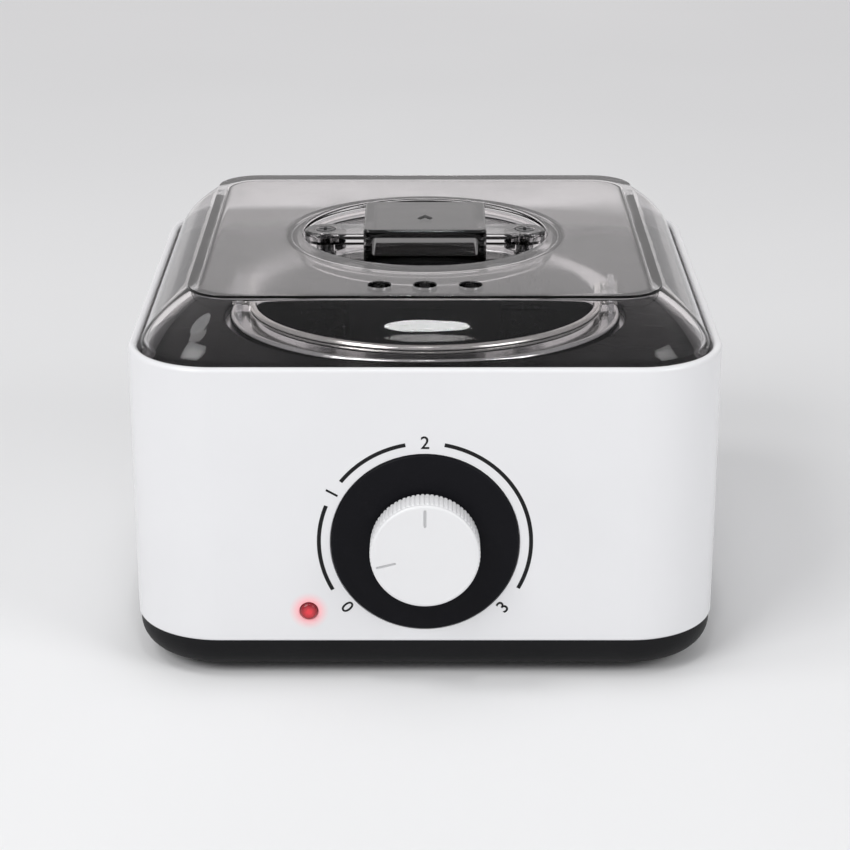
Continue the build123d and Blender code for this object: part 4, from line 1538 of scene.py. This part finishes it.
@dataclass
class Pot:
    """The lift-out pot and its wire bail."""

    bore: float = POT_BORE
    wall_radius: float = 53.0
    rim_radius: float = 59.0
    bottom: float = 23.9
    floor: float = POT_FLOOR
    top: float = POT_TOP
    rim_thick: float = 1.5
    curl_drop: float = 3.6
    curl_thick: float = 1.6
    facets: int = 160
    wire_radius: float = 1.3
    bail_radius: float = 52.0
    bail_bend: float = 2.6
    bail_end: float = 3.6
    bail_height: float = 89.4
    weld: float = 0.01

    def cup(self) -> Object:
        """Builds the cup with its rolled rim.

        Returns:
            The cup.
        """
        under, low, curl = self.top - self.rim_thick, self.top - self.curl_drop, self.rim_radius - self.curl_thick
        profile = rounded([
            (0, self.floor, 0), (self.bore, self.floor, 3.0), (self.bore, self.top, 0.9),
            (self.rim_radius, self.top, 1.3), (self.rim_radius, low, 0.6), (curl, low, 0.6),
            (curl, under, 0.4), (self.wall_radius, under, 0.6), (self.wall_radius, self.bottom, 4.0),
            (0, self.bottom, 0),
        ], steps=7)
        return skin("wax_cup", turned(profile, self.facets))

    def bail(self, bench: Bench) -> Object:
        """Bends the bail's wire.

        Args:
            bench: the bench with the wire's finish.

        Returns:
            The bail.
        """
        end, bend = self.bail_radius + self.bail_bend, self.bail_bend
        line = [Vector((-end - self.bail_end, 0))]
        for middle, radius, start, stop, steps in (
            (-end, bend, 90, 0, 10), (0, self.bail_radius, 180, 360, 96), (end, bend, 180, 90, 10),
        ):
            for i in range(steps + 1):
                turn = math.radians(start + (stop - start) * i / steps)
                line.append(Vector((middle + radius * math.cos(turn), radius * math.sin(turn) - bend)))
        line.append(Vector((end + self.bail_end, 0)))
        mesh = bpy.data.meshes.new("wire_bail")
        points = [(p.x * MM, p.y * MM, self.bail_height * MM) for p in line]
        mesh.from_pydata(points, [(i, i + 1) for i in range(len(points) - 1)], [])
        bail = stand("wire_bail", mesh)
        bail.modifiers.new("weld", "WELD").merge_threshold = self.weld * MM
        feeds = {"Radius": self.wire_radius * MM, "Finish": bench.materials["bail_wire"]}
        return grow(freeze(bail), wire_tree(), feeds)

    def build(self, bench: Bench) -> None:
        """Builds the cup and the bail, and dresses the ears.

        Args:
            bench: the bench that dresses them.
        """
        bench.hang(self.cup(), "pot_aluminium", Body.POT, "wax_pot")
        bench.hang(self.bail(bench), "bail_wire", Body.BAIL, "pot_bail")
        bench.carry_over("screw_steel", "pot_ears")


@dataclass
class Lid:
    """The clear lid, its bar grip and the grip's screws."""

    half: float = 79.6
    skirt_corner: float = 21.6
    wall: float = 2.5
    bottom: float = 86.0
    shoulder: float = 93.0
    top: float = LID_TOP
    bevel: float = 14.4
    bow: float = 5.0
    bow_corner: float = 18.0
    top_corner: float = 12.0
    recess_radius: float = 36.6
    recess_floor: float = 103.5
    hole_radius: float = HOLE_RADIUS
    hole_pitch: float = HOLE_PITCH
    hole_front: float = HOLE_FRONT
    hole_edge: float = 0.3
    hole_facets: int = 48
    screw_span: float = 59.8
    screw: Screw = field(default_factory=lambda: Screw(2.9, 1.8, 1.5, 108.9, 98.8))
    screw_bore: float = 1.8
    side: int = 24
    arc: int = 12
    steps: int = 16
    ease: float = 0.35
    foot: float = 0.02
    crease: float = 0.95
    run_on: float = 0.3
    hold: Span = (0.1, 0.4)
    step_lead: Span = (1.0, 0.7)
    step_lean: float = 0.12
    step_rounds: Span = (0.12, 0.22)
    step_hold: float = 0.08
    step_run: float = 3.0
    inside_shrink: float = 0.9
    grip_top: float = 113.0
    mark_front: float = -1.5
    mark: tuple[Span, ...] = ((-2.2, -1.4), (-1.4, -2.6), (0, -0.4), (1.4, -2.6), (2.2, -1.4), (0, 2.1))
    mark_levels: Span = (-0.05, 0.12)

    def wall_at(self, share: float) -> Span:
        """Gives the sloping wall's inset and corner radius at a share of its height.

        Args:
            share: 0 at the shoulder, 1 at the flat top.

        Returns:
            The inset from the skirt and the corner's radius.
        """
        curve = 2 * self.bevel - 4 * self.bow
        inset = curve * share**2 + (self.bevel - curve) * share
        drop, half_drop = self.skirt_corner - self.top_corner, self.skirt_corner - self.bow_corner
        turn = 2 * drop - 4 * half_drop
        return inset, self.skirt_corner - (turn * share**2 + (drop - turn) * share)

    def square(self, inset: float, corner: float, height: float, thick: float) -> Ring:
        """Gives one square ring of the lid, drawn in by a thickness for the inside."""
        return rounded_square(self.half - inset - thick, corner - thick, height, self.side, self.arc)

    def slope(self, thick: float) -> list[Ring]:
        """Gives the rings from the skirt's lower edge up to the flat top.

        Args:
            thick: 0 for the outside, or the wall's thickness for the inside.

        Returns:
            The rings, from below upwards.
        """
        top, ease = self.top - thick, self.ease
        heights = (self.bottom + ease, self.bottom + (ease + self.hold[0]), self.shoulder - self.hold[1])
        sides = [Vector((0.0, self.skirt_corner, height)) for height in heights]
        for i in range(self.steps + 1):
            share = self.foot + (self.crease - self.foot) * i / self.steps
            sides.append(Vector((*self.wall_at(share), self.shoulder + share * (top - self.shoulder))))
        start = sides[-1]
        if thick:
            ridge, run = Vector((self.bevel, self.top_corner, top)), self.bevel - start.x
            end = ridge + Vector((run, -self.inside_shrink * run, 0.0))
            sides += [(1 - t) ** 2 * start + 2 * t * (1 - t) * ridge + t**2 * end for t in (0.25, 0.5, 0.75, 1.0)]
        else:
            (back, down), (foot, edge) = self.step_lead, self.step_rounds
            step = rounded([
                (start.x - back, start.z - down, 0), (start.x, start.z, foot), (start.x + self.step_lean, top, edge),
                (start.x + self.step_run, top, 0),
            ], steps=4, hold=self.step_hold)
            sides[-1:] = [Vector((p.x, start.y - (p.x - start.x), p.y)) for p in step[1:-1]]
        sides.append(sides[-1] + Vector((self.run_on, -self.run_on, 0.0)))
        return [self.square(p.x, p.y, p.z, thick) for p in sides]

    def shell(self) -> Object:
        """Builds the lid's wall with its recess, steam holes and screw holes.

        Returns:
            The lid.
        """
        count = 4 * (self.side + self.arc)
        outside = rounded([
            (self.recess_radius + 6, self.top, 0), (self.recess_radius, self.top, 0.8),
            (self.recess_radius, self.recess_floor, 0.7), (0, self.recess_floor, 0),
        ], steps=6)
        thick, ceiling, under = self.recess_radius + self.wall, self.top - self.wall, self.recess_floor - self.wall
        inside = rounded([
            (thick + 5, ceiling, 0), (thick, ceiling, 3.0), (thick, under, 0.9), (0, under, 0),
        ], steps=6)
        edges = [self.square(0, self.skirt_corner, self.bottom, t) for t in (self.wall - self.ease, self.ease)]
        shell = skin("clear_lid", [
            *turned(reversed(inside), count), *reversed(self.slope(self.wall)), *edges, *self.slope(0.0),
            *turned(outside, count),
        ])
        cut(shell, self.cutters(self.hole_radius, self.top, Places(self.hole_pitch, columns=3, front=self.hole_front)))
        cut(shell, self.cutters(self.screw_bore, self.recess_floor, Places(self.screw_span)))
        return shell

    def cutters(self, radius: float, level: float, places: Places) -> Object:
        """Makes a row of cutters that leave a small chamfer at both ends of each hole.

        Args:
            radius: radius of the holes.
            level: height of the wall's upper face.
            places: where the holes are.

        Returns:
            The cutters.
        """
        low, edge = level - self.wall, self.hole_edge
        profile = [
            (0, level + 1), (radius + edge, level + 1), (radius + edge, level), (radius, level - edge),
            (radius, low + edge), (radius + edge, low), (radius + edge, low - 1), (0, low - 1),
        ]
        return grow(skin("holes", turned(map(Vector, profile), self.hole_facets)), grid_tree(), places.feeds())

    def grip_mark(self) -> Object:
        """Makes the small arrow head on the grip's top.

        Returns:
            The arrow head.
        """
        low, high = (self.grip_top + level for level in self.mark_levels)
        place = Matrix.Translation((0, self.mark_front, 0))
        return plate("grip_arrow", [Vector(p) for p in self.mark], low, high, place)

    def build(self, bench: Bench) -> None:
        """Builds the lid and the grip's screws, and dresses the grip.

        Args:
            bench: the bench that dresses them.
        """
        bench.hang(self.shell(), "smoke_lid", Body.LID, "lid")
        bench.carry_over("smoke_grip", "lid_grip")
        bench.carry_over("screw_steel", "grip_nuts")
        screws = bench.spread(self.screw.build("grip_bolts"), Places(self.screw_span), "dark_steel")
        bench.hang(screws, "dark_steel", Body.LID, "grip_screws", "screw_steel")
        bench.hang(self.grip_mark(), "scale_ink", Body.LID, slot="black_dial")


# Studio


def look(thing: Object, spot: Corner, target: Corner) -> None:
    """Sets a lamp or a camera at a spot, looking at a target."""
    thing.location = spot
    thing.rotation_euler = (Vector(target) - Vector(spot)).to_track_quat("-Z", "Y").to_euler()


@dataclass(frozen=True)
class SoftLamp:
    """One soft lamp: where it hangs and its size, in metres, and its power in watts."""

    name: str
    spot: Corner
    size: Span
    power: float
    shape: LampShape = LampShape.PANEL
    colour: Colour = (1.0, 1.0, 1.0)

    def hang(self, target: Corner) -> None:
        """Hangs the lamp.

        Args:
            target: what it looks at.
        """
        data = bpy.data.lights.new(self.name, "AREA")
        data.shape, data.color = self.shape.value, self.colour
        data.size, data.size_y, data.energy = *self.size, self.power
        lamp = stand(self.name, data)
        look(lamp, self.spot, target)
        lamp.visible_camera = False


@dataclass
class Studio:
    """The floor, the light and the camera, in metres."""

    floor_half: float = 9.0
    paint: FloorPaint = FloorPaint("floor", (0.84, 0.84, 0.845), 0.75)
    light: float = 0.45
    light_colour: Colour = (0.98, 0.985, 1.0)
    lamps: tuple[SoftLamp, ...] = (
        SoftLamp("key", (-0.85, -0.95, 1.05), (0.7, 0.7), 9.9),
        SoftLamp("fill", (1.0, -0.75, 0.8), (0.6, 0.6), 5.0),
        SoftLamp("spark", (0.0, -0.42, 1.25), (0.065, 0.22), 1.2, LampShape.ROUND),
        SoftLamp("spark_left", (-0.62, -0.18, 1.3), (0.4, 0.4), 2.5, LampShape.ROUND),
        SoftLamp("rear", (0.0, 1.3, 0.52), (1.9, 0.9), 2.4, colour=(1.0, 0.955, 0.95)),
    )
    middle: Corner = (0.0, 0.0, 0.06)
    eye: Corner = (0.0, -0.6783, 0.2992)
    aim: Corner = (0.0, 0.0, 0.046)
    lens: float = 99.0
    sensor: float = 36.0

    def floor(self) -> None:
        """Lays a plain pale floor."""
        half, mesh = self.floor_half, bpy.data.meshes.new("floor")
        mesh.from_pydata([(-half, -half, 0), (half, -half, 0), (half, half, 0), (-half, half, 0)], [], [(0, 1, 2, 3)])
        mesh.materials.append(self.paint.material())
        stand("floor", mesh)

    def room(self) -> None:
        """Sets an even, pale room."""
        world = bpy.context.scene.world = bpy.data.worlds.new("room")
        world.use_nodes = True
        net = Net(world.node_tree)
        net.tree.nodes.clear()
        feeds = {"Color": opaque(self.light_colour), "Strength": self.light}
        net.put("ShaderNodeOutputWorld", {"Surface": net.put("ShaderNodeBackground", feeds)[0]})

    def camera(self) -> None:
        """Sets the camera at the picture's viewing angle."""
        data = bpy.data.cameras.new("eye")
        data.lens, data.sensor_width = self.lens, self.sensor
        bpy.context.scene.camera = stand("eye", data)
        look(bpy.context.scene.camera, self.eye, self.aim)

    def build(self) -> None:
        """Builds the whole studio."""
        bpy.context.scene.view_settings.view_transform = "Standard"
        self.floor()
        self.room()
        for lamp in self.lamps:
            lamp.hang(self.middle)
        self.camera()


def main() -> None:
    """Builds the sub-assemblies in order."""
    logging.basicConfig(level=logging.INFO, format="%(name)s: %(message)s")
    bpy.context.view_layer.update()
    bench = Bench(FINISHES)
    Studio().build()
    for assembly in (Stand(), Casing(), Works(), Dial(), Pot(), Lid()):
        assembly.build(bench)


if __name__ == "__main__":
    main()
